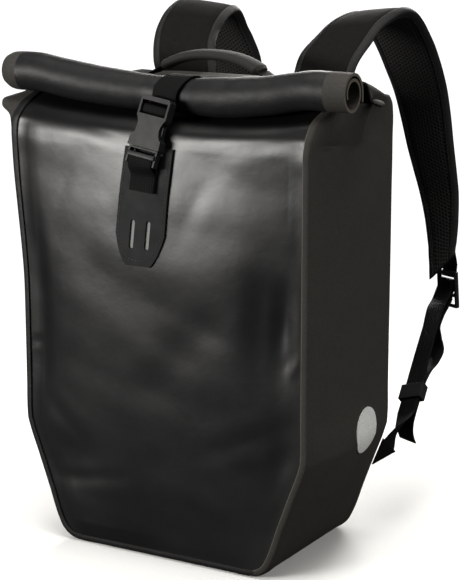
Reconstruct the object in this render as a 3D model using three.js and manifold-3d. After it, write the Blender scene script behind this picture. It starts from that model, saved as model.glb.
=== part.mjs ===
// A roll-top bicycle messenger backpack, in millimetres, +Z up.
// +X is to the right as the front panel is looked at, +Y points to the wearer.
// The origin is the middle of the base, on the surface that the bag stands on.
import * as THREE from "three";
import { mergeVertices } from "three/addons/utils/BufferGeometryUtils.js";
import Module from "manifold-3d";

const wasm = await Module();
wasm.setup();

// Driving sizes of the body
const bodyWidth = 300;
const bodyDepth = 163;
const baseWidth = 218;
const chamferHeight = 112;
const shoulderHeight = 385;
const neckRise = 41.7;
const neckSetback = 41.3;
const earRise = 32;
const crownRise = 13;
const clothWall = 1.4;
const clearance = 0.3;
const seamLap = 6.5;
const cornerRadius = 4;
const chamferRadius = 24;
const baseRadius = 26;
const frontBulge = 16;
const sideBulge = 6;
const chamferPuff = 4.5;
const backBulge = 2.5;
const earReach = 151;
const foldReach = 177;
const foldSetback = 62;
const foldRise = 38;
const stripValley = 9;
const pocketDepth = 7;
const flareReach = 11;
const flareFootShare = 0.43;
const flareFall = 34;
const flareHold = 3;

// Driving sizes of the rolled mouth
const rollLength = 356;
const rollRadius = 20;
const rollPitch = 4.6;
const rollTurns = 1.55;
const rollWall = 2.6;
const rollSag = 12.5;
const rollSagAt = 18;
const tongueHeight = 8.3;
const mouthSeat = 1.5;
const rollSteps = 16;
const foldTabLength = 11;
const foldTabRadius = 4.2;

// Driving sizes of the closure
const closureFootX = -12.5;
const closureTurn = 4.4;
const buckleTurn = 8.5;
const webbingWidth = 25;
const webbingWall = 1.6;
const patchWall = 1.6;
const patchTopWidth = 49;
const patchWidth = 51;
const patchFootWidth = 31;
const patchDrop = 4;
const patchStraight = 77;
const patchTaper = 28;
const patchSlotWidth = 4.6;
const patchSlotLength = 26;
const patchSlotSpacing = 16.3;
const lowerWebbingRun = 38;
const buckleWidth = 33;
const buckleNeckWidth = 30.4;
const buckleThickness = 10;
const buckleBar = 4;
const buckleSlot = 4.6;
const femaleLength = 45;
const maleWidth = 30.4;
const maleLength = 15;
const maleThickness = 6.4;
const prongReach = 23;
const prongThickness = 4.8;
const prongWidth = 3.6;
const guideWidth = 4;
const closureAnchorX = 0;
const closureAnchorSetback = 110;
const closureRest = -12;
const closureRestX = 6;
const closureArch = 1.4;

// Driving sizes of the handle
const handleOffset = -4.5;
const handleSetback = 102;
const handleLength = 103;
const handleSpan = 168;
const handleWidth = 24;
const handlePadding = 10;
const handleRise = 72;
const gripDrop = 12.5;

// Driving sizes of the shoulder straps and what hangs from them
const strapWidth = 63;
const strapEndWidth = 27;
const strapPadding = 9;
const strapEdge = 3;
const strapSeat = 0.75;
const strapRootX = 68;
const strapEndX = 123;
const strapReach = 178;
const crestRise = 99;
const strapDrop = 265;
const adjusterWidth = 20;
const lockWidth = 27;
const lockLength = 38;
const lockThickness = 4.5;
const lockBar = 4;
const lockDrop = 20;
const anchorHeight = 92;
const anchorInset = 1.5;
const lockLean = 5;
const lockTurn = -22;
const keeperLength = 17;
const keeperWall = 1.2;
const keeperPlay = 1.4;
const tabWall = 1.6;
const tabSeat = 1.2;
const badgeLift = 0.85;
const badgeDiameter = 43;
const badgeWall = 0.8;
const badgeSetback = 100;
const badgeHeight = 121;

// Places that follow from the driving sizes
const frontFace = -bodyDepth / 2;
const backFace = bodyDepth / 2;
const neckHeight = shoulderHeight + neckRise;
const earHeight = shoulderHeight + earRise;
const crownHeight = earHeight + crownRise;
const foldHeight = shoulderHeight + foldRise;
const patchTop = shoulderHeight - patchDrop;
const patchShoulder = patchTop - patchStraight;
const patchFoot = patchShoulder - patchTaper;
const lowerWebbingFoot = patchTop - lowerWebbingRun;
const buckleHeight = patchTop;
const handleHeight = shoulderHeight + handleRise;
const strapCrest = shoulderHeight + crestRise;
const strapFoot = strapCrest - strapDrop;
const lockHeight = strapFoot - lockDrop;
const anchorX = bodyWidth / 2 - anchorInset;
const lapSeat = clothWall + clearance + 0.1;
const sagReach = bodyWidth / 2 - seamLap - 2.5;
const neckY = frontFace + neckSetback;
const rollCentreY = neckY + mouthSeat - rollRadius;
const rollCentreZ = neckHeight + clearance + tongueHeight;

// Fullness of the front panel from the base (0) to the shoulder (1)
const frontFullness = [
  { up: 0, full: 0 },
  { up: 0.06, full: 0.2 },
  { up: 0.16, full: 0.5 },
  { up: 0.32, full: 0.8 },
  { up: 0.52, full: 0.97 },
  { up: 0.72, full: 1 },
  { up: 0.88, full: 0.82 },
  { up: 1, full: 0.48 },
];

// Dents of the front panel: shares of its half width, the shoulder height and the bulge
const frontDents = [
  { across: 0.8, up: 0.6, depth: 0.34, wide: 0.17, tall: 0.13, turn: 6 },
  { across: -0.88, up: 0.57, depth: 0.3, wide: 0.12, tall: 0.15, turn: 0 },
  { across: -0.95, up: 0.42, depth: 0.26, wide: 0.12, tall: 0.05, turn: 0 },
  { across: 0.22, up: 0.52, depth: 0.22, wide: 0.1, tall: 0.16, turn: -38 },
  { across: -0.66, up: 0.2, depth: 0.2, wide: 0.2, tall: 0.05, turn: 24 },
  { across: 0.3, up: 0.97, depth: 0.3, wide: 0.09, tall: 0.05, turn: 0 },
  { across: -0.02, up: 1, depth: 0.1, wide: 0.16, tall: 0.04, turn: 0 },
  { across: 0.86, up: 0.3, depth: 0.18, wide: 0.14, tall: 0.07, turn: 20 },
];

// The front panel above the shoulder: shares of the way back and up to the neck
const frontLean = [
  { lean: 0, back: 0, up: 0 },
  { lean: 0.2, back: 0.06, up: 0.29 },
  { lean: 0.38, back: 0.2, up: 0.53 },
  { lean: 0.54, back: 0.4, up: 0.68 },
  { lean: 0.68, back: 0.62, up: 0.755 },
  { lean: 0.8, back: 0.81, up: 0.83 },
  { lean: 0.91, back: 0.945, up: 0.92 },
  { lean: 1, back: 1, up: 1 },
];

// The back edge above the shoulder: shares of the way to the roll, up to the ear, and out
const backLean = [
  { lean: 0, forward: 0, up: 0, rise: 0, out: 0 },
  { lean: 0.2, forward: 0, up: 0.42, rise: 0, out: 0 },
  { lean: 0.38, forward: 0.012, up: 0.8, rise: 0, out: 0 },
  { lean: 0.5, forward: 0.06, up: 1, rise: 0.01, out: 0.01 },
  { lean: 0.62, forward: 0.25, up: 1, rise: 0.2, out: 0.22 },
  { lean: 0.76, forward: 0.52, up: 1, rise: 0.5, out: 0.52 },
  { lean: 0.88, forward: 0.77, up: 1, rise: 0.77, out: 0.8 },
  { lean: 1, forward: 1, up: 1, rise: 1, out: 1 },
];

// Fullness of the side from the front corner (0) to the back corner (1)
const sideColumns = [
  { across: 0.1, full: 0.45, valley: 0.35, pocket: 0 },
  { across: 0.18, full: 0.66, valley: 1, pocket: 0 },
  { across: 0.27, full: 0.82, valley: 0.25, pocket: 0 },
  { across: 0.38, full: 0.95, valley: 0, pocket: 0 },
  { across: 0.5, full: 1, valley: 0, pocket: 0 },
  { across: 0.6, full: 0.96, valley: 0, pocket: 0.8 },
  { across: 0.7, full: 0.86, valley: 0, pocket: 1 },
  { across: 0.8, full: 0.66, valley: 0, pocket: 0.5 },
  { across: 0.9, full: 0.38, valley: 0, pocket: 0.1 },
];

// The roll's girth from its left end (-1) to its right end (1)
const rollRows = [
  { along: -1, girth: 0.8 },
  { along: -0.95, girth: 0.96 },
  { along: -0.86, girth: 1 },
  { along: -0.79, girth: 0.99 },
  { along: -0.65, girth: 0.99 },
  { along: -0.5, girth: 0.98 },
  { along: -0.32, girth: 0.96 },
  { along: -0.2, girth: 0.93 },
  { along: -0.09, girth: 0.9 },
  { along: 0.13, girth: 0.9 },
  { along: 0.19, girth: 0.95 },
  { along: 0.27, girth: 0.99 },
  { along: 0.36, girth: 1 },
  { along: 0.55, girth: 0.98 },
  { along: 0.79, girth: 0.96 },
  { along: 0.9, girth: 0.97 },
  { along: 1, girth: 0.95 },
];

// A shoulder strap from its root on the back panel to its lower end
const strapRows = [
  { spread: 0.07, reach: 0.008, height: 0.67, wide: 1, thick: 0.34, roll: 0, skew: 0 },
  { spread: 0.09, reach: 0.018, height: 0.75, wide: 1, thick: 0.45, roll: 1, skew: 0 },
  { spread: 0.14, reach: 0.04, height: 0.838, wide: 1, thick: 0.8, roll: 3, skew: 0 },
  { spread: 0.24, reach: 0.184, height: 0.921, wide: 1, thick: 1, roll: 6, skew: 0 },
  { spread: 0.29, reach: 0.265, height: 0.957, wide: 1, thick: 1, roll: 7, skew: 0 },
  { spread: 0.34, reach: 0.347, height: 0.978, wide: 1, thick: 1, roll: 7, skew: 0 },
  { spread: 0.38, reach: 0.424, height: 0.99, wide: 1, thick: 1, roll: 7, skew: 0 },
  { spread: 0.42, reach: 0.5, height: 0.993, wide: 1, thick: 1, roll: 6, skew: 0 },
  { spread: 0.46, reach: 0.565, height: 0.98, wide: 1, thick: 1, roll: 5, skew: 0 },
  { spread: 0.49, reach: 0.62, height: 0.95, wide: 1, thick: 1, roll: 4, skew: 0 },
  { spread: 0.515, reach: 0.672, height: 0.912, wide: 1, thick: 1, roll: 3, skew: 0 },
  { spread: 0.55, reach: 0.728, height: 0.863, wide: 1, thick: 1, roll: 2, skew: 0 },
  { spread: 0.6, reach: 0.793, height: 0.788, wide: 0.98, thick: 1, roll: 1, skew: 0 },
  { spread: 0.65, reach: 0.853, height: 0.706, wide: 0.93, thick: 1, roll: 0, skew: 0 },
  { spread: 0.715, reach: 0.897, height: 0.594, wide: 0.87, thick: 1, roll: 0, skew: 0 },
  { spread: 0.775, reach: 0.928, height: 0.483, wide: 0.81, thick: 1, roll: 0, skew: 0 },
  { spread: 0.83, reach: 0.958, height: 0.392, wide: 0.75, thick: 1, roll: 0, skew: 0 },
  { spread: 0.88, reach: 0.988, height: 0.302, wide: 0.68, thick: 1, roll: 0, skew: 0 },
  { spread: 0.93, reach: 0.998, height: 0.2, wide: 0.58, thick: 1, roll: 0, skew: -0.05 },
  { spread: 0.96, reach: 0.997, height: 0.112, wide: 0.5, thick: 0.95, roll: 0, skew: -0.3 },
  { spread: 0.98, reach: 0.985, height: 0.06, wide: 0.45, thick: 0.85, roll: 0, skew: -0.65 },
  { spread: 1, reach: 0.97, height: 0.02, wide: 0.42, thick: 0.6, roll: 0, skew: -0.95 },
];

// How each strap is laid: how far out it stands and how far it is turned at its crest
const strapLays = {
  right: { out: 0, turn: 0 },
  left: { out: 9, turn: 14 },
};

// The closure webbing over the roll: its shift and its lift as shares of the webbing's width
// and thickness, and its turn round the roll
const closureRows = [
  { shift: 0.14, turn: 0.43, lift: 0.44 },
  { shift: 0.24, turn: 0.375, lift: 0.31 },
  { shift: 0.34, turn: 0.32, lift: 0.25 },
  { shift: 0.42, turn: 0.26, lift: 0.25 },
  { shift: 0.46, turn: 0.205, lift: 0.25 },
  { shift: 0.44, turn: 0.15, lift: 0.63 },
];

// The adjuster webbing from the anchor tab through the keeper to the lock's foot, and the
// tail back to its free end: shares from the strap's end out to the seam, of the straps'
// reach behind the back face, and from the anchor up to the lock
const adjusterRise = [
  { out: 1, back: 0.0955, up: 0.0187, turn: -75, roll: 30 },
  { out: 0.961, back: 0.1854, up: 0.0748, turn: -52, roll: 14 },
  { out: 0.784, back: 0.3034, up: 0.1355, turn: -26, roll: 2 },
  { out: 0.706, back: 0.3708, up: 0.2243, turn: -22, roll: 0 },
  { out: 0.627, back: 0.4382, up: 0.3131, turn: -22, roll: 0 },
  { out: 0.49, back: 0.5393, up: 0.4393, turn: -23, roll: 0 },
  { out: 0.353, back: 0.6573, up: 0.6075, turn: -28, roll: 0 },
  { out: 0.196, back: 0.7809, up: 0.757, turn: -32, roll: 0 },
  { out: 0.02, back: 0.8989, up: 0.8785, turn: -26, roll: 0 },
];
const adjusterTail = [
  { out: -0.098, back: 0.9888, up: 0.8271, turn: -24 },
  { out: -0.02, back: 0.8989, up: 0.7477, turn: -28 },
  { out: 0.137, back: 0.8315, up: 0.6636, turn: -30 },
  { out: 0.294, back: 0.8146, up: 0.5794, turn: -28 },
  { out: 0.392, back: 0.7865, up: 0.5093, turn: -24 },
  { out: 0.471, back: 0.6854, up: 0.4346, turn: -22 },
  { out: 0.549, back: 0.5618, up: 0.3925, turn: -22 },
  { out: 0.627, back: 0.4579, up: 0.2944, turn: -22 },
  { out: 0.706, back: 0.3899, up: 0.2056, turn: -22 },
  { out: 0.784, back: 0.323, up: 0.1168, turn: -22 },
  { out: 0.784, back: 0.3006, up: 0.0467, turn: -20 },
  { out: 0.765, back: 0.2978, up: -0.028, turn: -18 },
  { out: 0.745, back: 0.3146, up: -0.0935, turn: -16 },
  { out: 0.745, back: 0.3371, up: -0.1495, turn: -16 },
];

// The corners of the anchor tab, in the same shares: its root along the seam and its tip
const tabRows = [
  { out: 0.804, back: 0, up: 0 },
  { out: 0.451, back: 0, up: -0.2103 },
  { out: 0.941, back: 0.0831, up: -0.1308 },
];

const mix = (a, b, t) => a + (b - a) * t;
const ease = (t) => {
  const u = Math.min(1, Math.max(0, t));
  return u * u * (3 - 2 * u);
};
const point = (x, y, z) => new THREE.Vector3(x, y, z);
const degrees = (angle) => (angle * Math.PI) / 180;

// Reads one column of a table at a value of its key column
function read(table, key, at, column) {
  const last = table.length - 1;
  if (at <= table[0][key]) {
    return table[0][column];
  }
  for (let i = 0; i < last; i += 1) {
    const [low, high] = [table[i], table[i + 1]];
    if (at <= high[key]) {
      return mix(low[column], high[column], (at - low[key]) / (high[key] - low[key]));
    }
  }
  return table[last][column];
}

function closedGeometry(points, faces) {
  const geometry = new THREE.BufferGeometry();
  const positions = new Float32Array(points.flatMap((p) => [p.x, p.y, p.z]));
  let volume = 0;
  for (const [a, b, c] of faces) {
    volume += points[a].dot(points[b].clone().cross(points[c]));
  }
  const ordered = volume > 0 ? faces : faces.map(([a, b, c]) => [a, c, b]);
  geometry.setAttribute("position", new THREE.BufferAttribute(positions, 3));
  geometry.setIndex(ordered.flat());
  geometry.computeVertexNormals();
  return geometry;
}

// A cloth wall under a grid of outer points; seen from outside, j runs right and i runs up
function sheet(grid, wall) {
  const rows = grid.length;
  const columns = grid[0].length;
  const points = grid.flat();
  const inner = [];
  for (let i = 0; i < rows; i += 1) {
    for (let j = 0; j < columns; j += 1) {
      const along = grid[i][Math.min(j + 1, columns - 1)].clone().sub(grid[i][Math.max(j - 1, 0)]);
      const up = grid[Math.min(i + 1, rows - 1)][j].clone().sub(grid[Math.max(i - 1, 0)][j]);
      const normal = along.cross(up).normalize();
      inner.push(grid[i][j].clone().addScaledVector(normal, -wall));
    }
  }
  const size = points.length;
  const at = (i, j) => i * columns + j;
  const faces = [];
  for (let i = 0; i < rows - 1; i += 1) {
    for (let j = 0; j < columns - 1; j += 1) {
      const [a, b, c, d] = [at(i, j), at(i, j + 1), at(i + 1, j + 1), at(i + 1, j)];
      faces.push([a, b, c], [a, c, d]);
      faces.push([a + size, c + size, b + size], [a + size, d + size, c + size]);
    }
  }
  const run = (count) => Array.from({ length: count - 1 }, (_, k) => k);
  const rim = [
    ...run(columns).map((k) => at(0, k)),
    ...run(rows).map((k) => at(k, columns - 1)),
    ...run(columns).map((k) => at(rows - 1, columns - 1 - k)),
    ...run(rows).map((k) => at(rows - 1 - k, 0)),
  ];
  rim.forEach((a, k) => {
    const b = rim[(k + 1) % rim.length];
    faces.push([b, a, a + size], [b, a + size, b + size]);
  });
  return closedGeometry([...points, ...inner], faces);
}

// A solid through rings of points with the same count, capped at both ends
function loft(rings) {
  const count = rings[0].length;
  const faces = [];
  for (let i = 0; i < rings.length - 1; i += 1) {
    for (let k = 0; k < count; k += 1) {
      const next = (k + 1) % count;
      const [a, b] = [i * count + k, i * count + next];
      faces.push([a, b, b + count], [a, b + count, a + count]);
    }
  }
  const top = (rings.length - 1) * count;
  for (let k = 1; k < count - 1; k += 1) {
    faces.push([0, k + 1, k], [top, top + k, top + k + 1]);
  }
  return closedGeometry(rings.flat(), faces);
}

// Rings of a band through stations of centre, across direction, width and section outline
function bandRings(stations, outline) {
  return stations.map((station, i) => {
    const before = stations[Math.max(i - 1, 0)].centre;
    const after = stations[Math.min(i + 1, stations.length - 1)].centre;
    const tangent = after.clone().sub(before).normalize();
    const across = station.across.clone();
    across.addScaledVector(tangent, -across.dot(tangent)).normalize();
    const normal = across.clone().cross(tangent);
    return outline(station).map(([u, v]) => {
      const corner = station.centre.clone().addScaledVector(across, u).addScaledVector(normal, v);
      return corner.addScaledVector(tangent, (station.skew ?? 0) * u);
    });
  });
}

function webbingOutline(width, wall) {
  const [w, t] = [width / 2, wall / 2];
  return () => [[-w, -t], [w, -t], [w, t], [-w, t]];
}

function toSolid(geometry) {
  const bare = geometry.clone();
  bare.deleteAttribute("normal");
  bare.deleteAttribute("uv");
  const merged = mergeVertices(bare, 1e-4);
  const vertProperties = merged.attributes.position.array;
  const triVerts = new Uint32Array(merged.index.array);
  return new wasm.Manifold(new wasm.Mesh({ numProp: 3, vertProperties, triVerts }));
}

function toGeometry(solid) {
  const mesh = solid.getMesh();
  const geometry = new THREE.BufferGeometry();
  geometry.setAttribute("position", new THREE.BufferAttribute(mesh.vertProperties, 3));
  geometry.setIndex(new THREE.BufferAttribute(mesh.triVerts, 1));
  geometry.computeVertexNormals();
  return geometry;
}

function cut(geometry, tools) {
  let solid = toSolid(geometry);
  for (const tool of tools) {
    solid = solid.subtract(toSolid(tool));
  }
  return toGeometry(solid);
}

// The same solid on the other side of the bag
function mirrored(geometry) {
  const other = geometry.index ? geometry.clone() : mergeVertices(geometry);
  other.scale(-1, 1, 1);
  other.setIndex(Array.from(other.index.array).reverse());
  other.computeVertexNormals();
  return other;
}

function boxAt(width, height, depth, x, y, z) {
  const geometry = new THREE.BoxGeometry(width, height, depth);
  geometry.translate(x, y, z);
  return geometry;
}

const bag = new THREE.Group();

const finishes = {
  coated: { color: 0x1b1c1d, roughness: 0.38, metalness: 0 },
  matte: { color: 0x2a2826, roughness: 0.85, metalness: 0 },
  padded: { color: 0x2b2b2c, roughness: 0.8, metalness: 0 },
  webbing: { color: 0x141414, roughness: 0.75, metalness: 0 },
  plastic: { color: 0x222323, roughness: 0.4, metalness: 0 },
  patch: { color: 0x1d1e1f, roughness: 0.6, metalness: 0 },
  grip: { color: 0x3b3b3b, roughness: 0.7, metalness: 0 },
  reflective: { color: 0xc9caca, roughness: 0.5, metalness: 0 },
};

function add(name, geometry, finish, parent = bag) {
  const mesh = new THREE.Mesh(geometry, new THREE.MeshStandardMaterial(finishes[finish]));
  mesh.name = name;
  parent.add(mesh);
  return mesh;
}

// The bag's outline from the front, right half, from the base centre up to the shoulder:
// places with the direction that points out of the bag
function makeOutline() {
  const halfBase = baseWidth / 2;
  const slope = Math.atan2(bodyWidth / 2 - halfBase, chamferHeight);
  const stations = [];
  const place = (x, z, angle) => {
    stations.push({ x, z, nx: Math.sin(angle), nz: -Math.cos(angle) });
  };
  const baseTangent = baseRadius * Math.tan((Math.PI / 2 - slope) / 2);
  const baseEnd = halfBase - baseTangent;
  for (const share of [0, 0.45, 0.8]) {
    place(baseEnd * share, 0, 0);
  }
  const arc = (centreX, centreZ, radius, from, to, steps) => {
    for (let k = 0; k <= steps; k += 1) {
      const angle = mix(from, to, k / steps);
      place(centreX + radius * Math.sin(angle), centreZ - radius * Math.cos(angle), angle);
    }
  };
  const flank = Math.PI / 2 - slope;
  arc(baseEnd, baseRadius, baseRadius, 0, flank, 4);
  const sideTangent = chamferRadius * Math.tan(slope / 2);
  const low = stations[stations.length - 1];
  const high = {
    x: bodyWidth / 2 - sideTangent * Math.sin(slope),
    z: chamferHeight - sideTangent * Math.cos(slope),
  };
  for (const share of [0.33, 0.67]) {
    place(mix(low.x, high.x, share), mix(low.z, high.z, share), flank);
  }
  const centreX = bodyWidth / 2 - chamferRadius;
  arc(centreX, chamferHeight + sideTangent, chamferRadius, flank, Math.PI / 2, 2);
  const sideStart = chamferHeight + sideTangent;
  for (const share of [0.12, 0.25, 0.38, 0.5, 0.62, 0.74, 0.86, 0.95, 1]) {
    place(bodyWidth / 2, mix(sideStart, shoulderHeight, share), Math.PI / 2);
  }
  return stations;
}
const outline = makeOutline();

// Half the width of the outline, drawn in by an inset, at a height
function halfWidth(z, inset) {
  for (let i = 0; i < outline.length - 1; i += 1) {
    const [a, b] = [outline[i], outline[i + 1]];
    const [az, bz] = [a.z - inset * a.nz, b.z - inset * b.nz];
    if (z <= bz && bz > az) {
      const share = Math.max(0, (z - az) / (bz - az));
      return mix(a.x - inset * a.nx, b.x - inset * b.nx, share);
    }
  }
  return bodyWidth / 2 - inset;
}

// How far the neck and the roll hang down at a place along the mouth
function sagAt(x) {
  const side = x < rollSagAt ? -1 : 1;
  const share = (x - rollSagAt) / (side * sagReach - rollSagAt);
  return rollSag * Math.max(0, 1 - share * share);
}

// Moves an edge along the bag's profile inwards by the seat of a lapped seam
function seated(edgeAt, lean, outwards) {
  const step = 0.02;
  const along = edgeAt(Math.min(1, lean + step)).sub(edgeAt(Math.max(0, lean - step)));
  const normal = point(0, outwards * along.z, -outwards * along.y).normalize();
  return edgeAt(lean).addScaledVector(normal, -lapSeat);
}

function dentAt(dents, across, up) {
  const ratio = shoulderHeight / (bodyWidth / 2);
  let depth = 0;
  for (const dent of dents) {
    const turn = degrees(dent.turn);
    const dx = across - dent.across;
    const dz = (up - dent.up) * ratio;
    const u = (dx * Math.cos(turn) + dz * Math.sin(turn)) / dent.wide;
    const v = (-dx * Math.sin(turn) + dz * Math.cos(turn)) / (dent.tall * ratio);
    depth += dent.depth * Math.exp(-u * u - v * v);
  }
  return depth;
}

// The outer face of the front panel below the shoulder
function frontY(x, z) {
  const reach = halfWidth(z, seamLap + 0.5);
  const share = Math.min(1, Math.abs(x) / reach);
  const up = Math.min(1, Math.max(0, (z - seamLap) / (shoulderHeight - seamLap)));
  const crown = (1 - share ** 2.2) * read(frontFullness, "up", up, "full");
  const dent = dentAt(frontDents, x / (bodyWidth / 2), z / shoulderHeight);
  const edge = Math.min(1, (1 - share) * 8) * Math.min(1, up * 20);
  return frontFace + lapSeat - frontBulge * (crown - dent * edge);
}

// The side edge of the front above the shoulder
function frontEdge(lean) {
  const out = mix(bodyWidth / 2, earReach + 2, lean);
  const y = frontFace + neckSetback * read(frontLean, "lean", lean, "back");
  const z = mix(shoulderHeight, neckHeight, read(frontLean, "lean", lean, "up"));
  return point(out, y, z);
}

const ridgeEnd = point(rollLength / 2 + 3, rollCentreY + rollRadius - 0.1, rollCentreZ + 9);

// The side edge of the back above the shoulder: up to the ear and along the ridge to the roll
function backEdge(lean) {
  const forward = read(backLean, "lean", lean, "forward");
  const ear = mix(shoulderHeight, earHeight, read(backLean, "lean", lean, "up"));
  const z = ear + (ridgeEnd.z - earHeight) * read(backLean, "lean", lean, "rise");
  const x = mix(bodyWidth / 2, ridgeEnd.x, read(backLean, "lean", lean, "out"));
  return point(x, mix(backFace, ridgeEnd.y, forward), z);
}

function foldPoint(lean) {
  const t = ease(lean);
  const start = point(bodyWidth / 2 + sideBulge, 0, shoulderHeight);
  return start.lerp(point(foldReach, frontFace + foldSetback, foldHeight), t);
}

// The left side stands out a little under the roll, most of all at the front
function flared(place) {
  const foot = mix(chamferHeight, shoulderHeight, flareFootShare);
  const rise = ease((place.z - foot) / (shoulderHeight - foot));
  const fall = 1 - ease((place.z - shoulderHeight - flareHold) / flareFall);
  const across = Math.min(1, Math.max(0, -place.x / (bodyWidth / 2))) ** 3;
  const depth = mix(1, 0.3, (place.y - frontFace) / bodyDepth);
  return point(place.x - flareReach * rise * fall * across * depth, place.y, place.z);
}
const flaredSheet = (grid) => sheet(grid.map((row) => row.map(flared)), clothWall);

const leanRows = [0.1, 0.2, 0.3, 0.4, 0.5, 0.62, 0.76, 0.88, 1];

function frontPoint(s, lean, inset) {
  const edge = seated(frontEdge, lean, -1);
  const x = s * (edge.x - inset);
  const bulge = frontY(s * (bodyWidth / 2 - inset), shoulderHeight) - frontFace - lapSeat;
  return point(x, edge.y + bulge * (1 - ease(lean * 1.35)), edge.z - sagAt(x) * ease(lean * 1.1));
}

function makeFrontPanel() {
  const inset = cornerRadius + clearance;
  const half = [0.2, 0.4, 0.58, 0.75, 0.88, 0.955, 1];
  const shares = [...half.map((s) => -s).reverse(), 0, ...half];
  const low = [0.125, 0.214, 0.375, 0.59, 0.804, 1].map((share) => share * chamferHeight);
  const high = [0.103, 0.212, 0.315, 0.418, 0.52, 0.623, 0.725, 0.82, 0.916];
  const upper = high.map((share) => mix(chamferHeight, shoulderHeight, share));
  const heights = [inset, seamLap + 1, ...low, ...upper];
  const grid = heights.map((z) => shares.map((s) => {
    const x = s * halfWidth(z, inset);
    return point(x, frontY(x, z), z);
  }));
  for (const lean of [0, ...leanRows]) {
    grid.push(shares.map((s) => frontPoint(s, lean, inset)));
  }
  return flaredSheet(grid);
}

function backPoint(s, lean, inset) {
  const edge = seated(backEdge, lean, 1);
  const x = s * (edge.x - inset);
  const turn = read(backLean, "lean", lean, "forward");
  const share = Math.min(1, Math.abs(x) / (edge.x - seamLap - 1));
  const y = edge.y + backBulge * (1 - share * share) * (1 - ease(turn * 14));
  const crown = (crownHeight - earHeight) * (1 - share ** 4);
  const rise = crown * ease(lean * 2.2) * (1 - turn) - sagAt(x) * ease(turn);
  return point(x, y, edge.z + rise);
}

function makeBackPanel() {
  const inset = cornerRadius + clearance;
  const shares = [1, 0.96, 0.85, 0.6, 0.3, 0, -0.3, -0.6, -0.85, -0.96, -1];
  const low = [0.125, 0.25, 0.536, 1].map((share) => share * chamferHeight);
  const high = [0.212, 0.432, 0.652, 0.853].map((share) => mix(chamferHeight, shoulderHeight, share));
  const heights = [inset, ...low, ...high];
  const grid = heights.map((z) => shares.map((s) => {
    const y = backFace - lapSeat + backBulge * (1 - s * s) * Math.min(1, z / chamferHeight);
    return point(s * halfWidth(z, inset), y, z);
  }));
  for (const lean of [0, ...leanRows]) {
    grid.push(shares.map((s) => backPoint(s, lean, inset)));
  }
  return flaredSheet(grid);
}

// The section of the gusset from the front lap, round the corners, to the back lap
function gussetSection(station) {
  const diagonal = cornerRadius * (1 - Math.SQRT1_2);
  const corner = [
    [-seamLap, 0],
    [-cornerRadius, 0],
    [-diagonal, diagonal],
    [0, cornerRadius],
  ];
  const place = (n, y) => point(station.x + n * station.nx, y, station.z + n * station.nz);
  const front = corner.map(([n, d]) => place(n, frontFace + d));
  const back = corner.map(([n, d]) => place(n, backFace - d)).reverse();
  const low = station.z / shoulderHeight;
  const round = chamferPuff * Math.exp(-(((station.z - chamferHeight + 20) / 32) ** 2));
  const puff = Math.max(0, station.nx) ** 2 * (sideBulge * Math.min(1, low * 3) + round);
  const valleyStart = ease((station.z - shoulderHeight + 14) / 40);
  const sides = sideColumns.map((column) => {
    const y = mix(frontFace + cornerRadius, backFace - cornerRadius, column.across);
    return place(puff * column.full - stripValley * valleyStart * column.valley, y);
  });
  return [...front, ...sides, ...back];
}

function gussetTopSection(lean) {
  const [front, fold, back] = [frontEdge(lean), foldPoint(lean), backEdge(lean)];
  const inwards = point(-1, 0, 0);
  const reach = cornerRadius * (1 - Math.SQRT1_2);
  const cornerOf = (edge) => {
    const towards = fold.clone().sub(edge).normalize();
    return [
      edge.clone().addScaledVector(inwards, seamLap),
      edge.clone().addScaledVector(inwards, cornerRadius),
      edge.clone().addScaledVector(inwards, reach).addScaledVector(towards, reach),
      edge.clone().addScaledVector(towards, cornerRadius),
    ];
  };
  const frontCorner = cornerOf(front);
  const backCorner = cornerOf(back).reverse();
  const [start, end] = [frontCorner[3], backCorner[0]];
  const middle = fold.clone().multiplyScalar(2);
  middle.addScaledVector(start, -0.5).addScaledVector(end, -0.5);
  const sides = sideColumns.map((column) => {
    const q = column.across;
    const round = start.clone().multiplyScalar((1 - q) ** 2);
    round.addScaledVector(middle, 2 * q * (1 - q)).addScaledVector(end, q * q);
    const bent = q < 0.5 ? start.clone().lerp(fold, q * 2) : fold.clone().lerp(end, q * 2 - 1);
    const side = round.lerp(bent, ease(lean * 1.2));
    const valley = stripValley * column.valley * mix(0.65, 0.55, lean);
    const pocket = pocketDepth * column.pocket * ease(lean * 2) * (1 - ease((lean - 0.7) * 4));
    return side.add(point(-valley * (1 - lean) - pocket, 0, -valley * lean * 0.6));
  });
  return [...frontCorner, ...sides, ...backCorner];
}

function makeGusset() {
  const across = (p) => point(-p.x, p.y, p.z);
  const right = [...outline.map(gussetSection), ...leanRows.map(gussetTopSection)];
  const left = right.slice(1).reverse().map((section) => section.map(across));
  return flaredSheet([...left, ...right]);
}

add("front_panel", makeFrontPanel(), "coated");
add("back_panel", makeBackPanel(), "matte");
add("gusset", makeGusset(), "matte");

// The rolled mouth: a doubled cloth wound from the neck forward, down and round
function rollFrame(x) {
  const along = x / (rollLength / 2);
  const girth = read(rollRows, "along", along, "girth");
  return { girth, y: rollCentreY + rollRadius * (1 - girth), z: rollCentreZ - sagAt(x) };
}

function rollPoint(x, turn, lift = 0) {
  const { girth, y, z } = rollFrame(x);
  const angle = turn * 2 * Math.PI;
  const radius = rollRadius * girth - rollPitch * Math.max(0, turn) + lift;
  return point(x, y + radius * Math.cos(angle), z + radius * Math.sin(angle));
}

function makeRoll() {
  const turns = [];
  const steps = Math.round(rollTurns * rollSteps);
  for (let k = 0; k <= steps; k += 1) {
    turns.push((rollTurns * k) / steps);
  }
  const places = rollRows.map((row) => (row.along * rollLength) / 2);
  const tongue = places.map((x) => {
    const top = rollPoint(x, 0);
    return point(x, top.y, top.z - tongueHeight);
  });
  const grid = [tongue, ...turns.map((turn) => places.map((x) => rollPoint(x, turn)))];
  return sheet(grid.map((row) => row.slice().reverse()), rollWall);
}
add("roll_top", makeRoll(), "coated");

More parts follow.
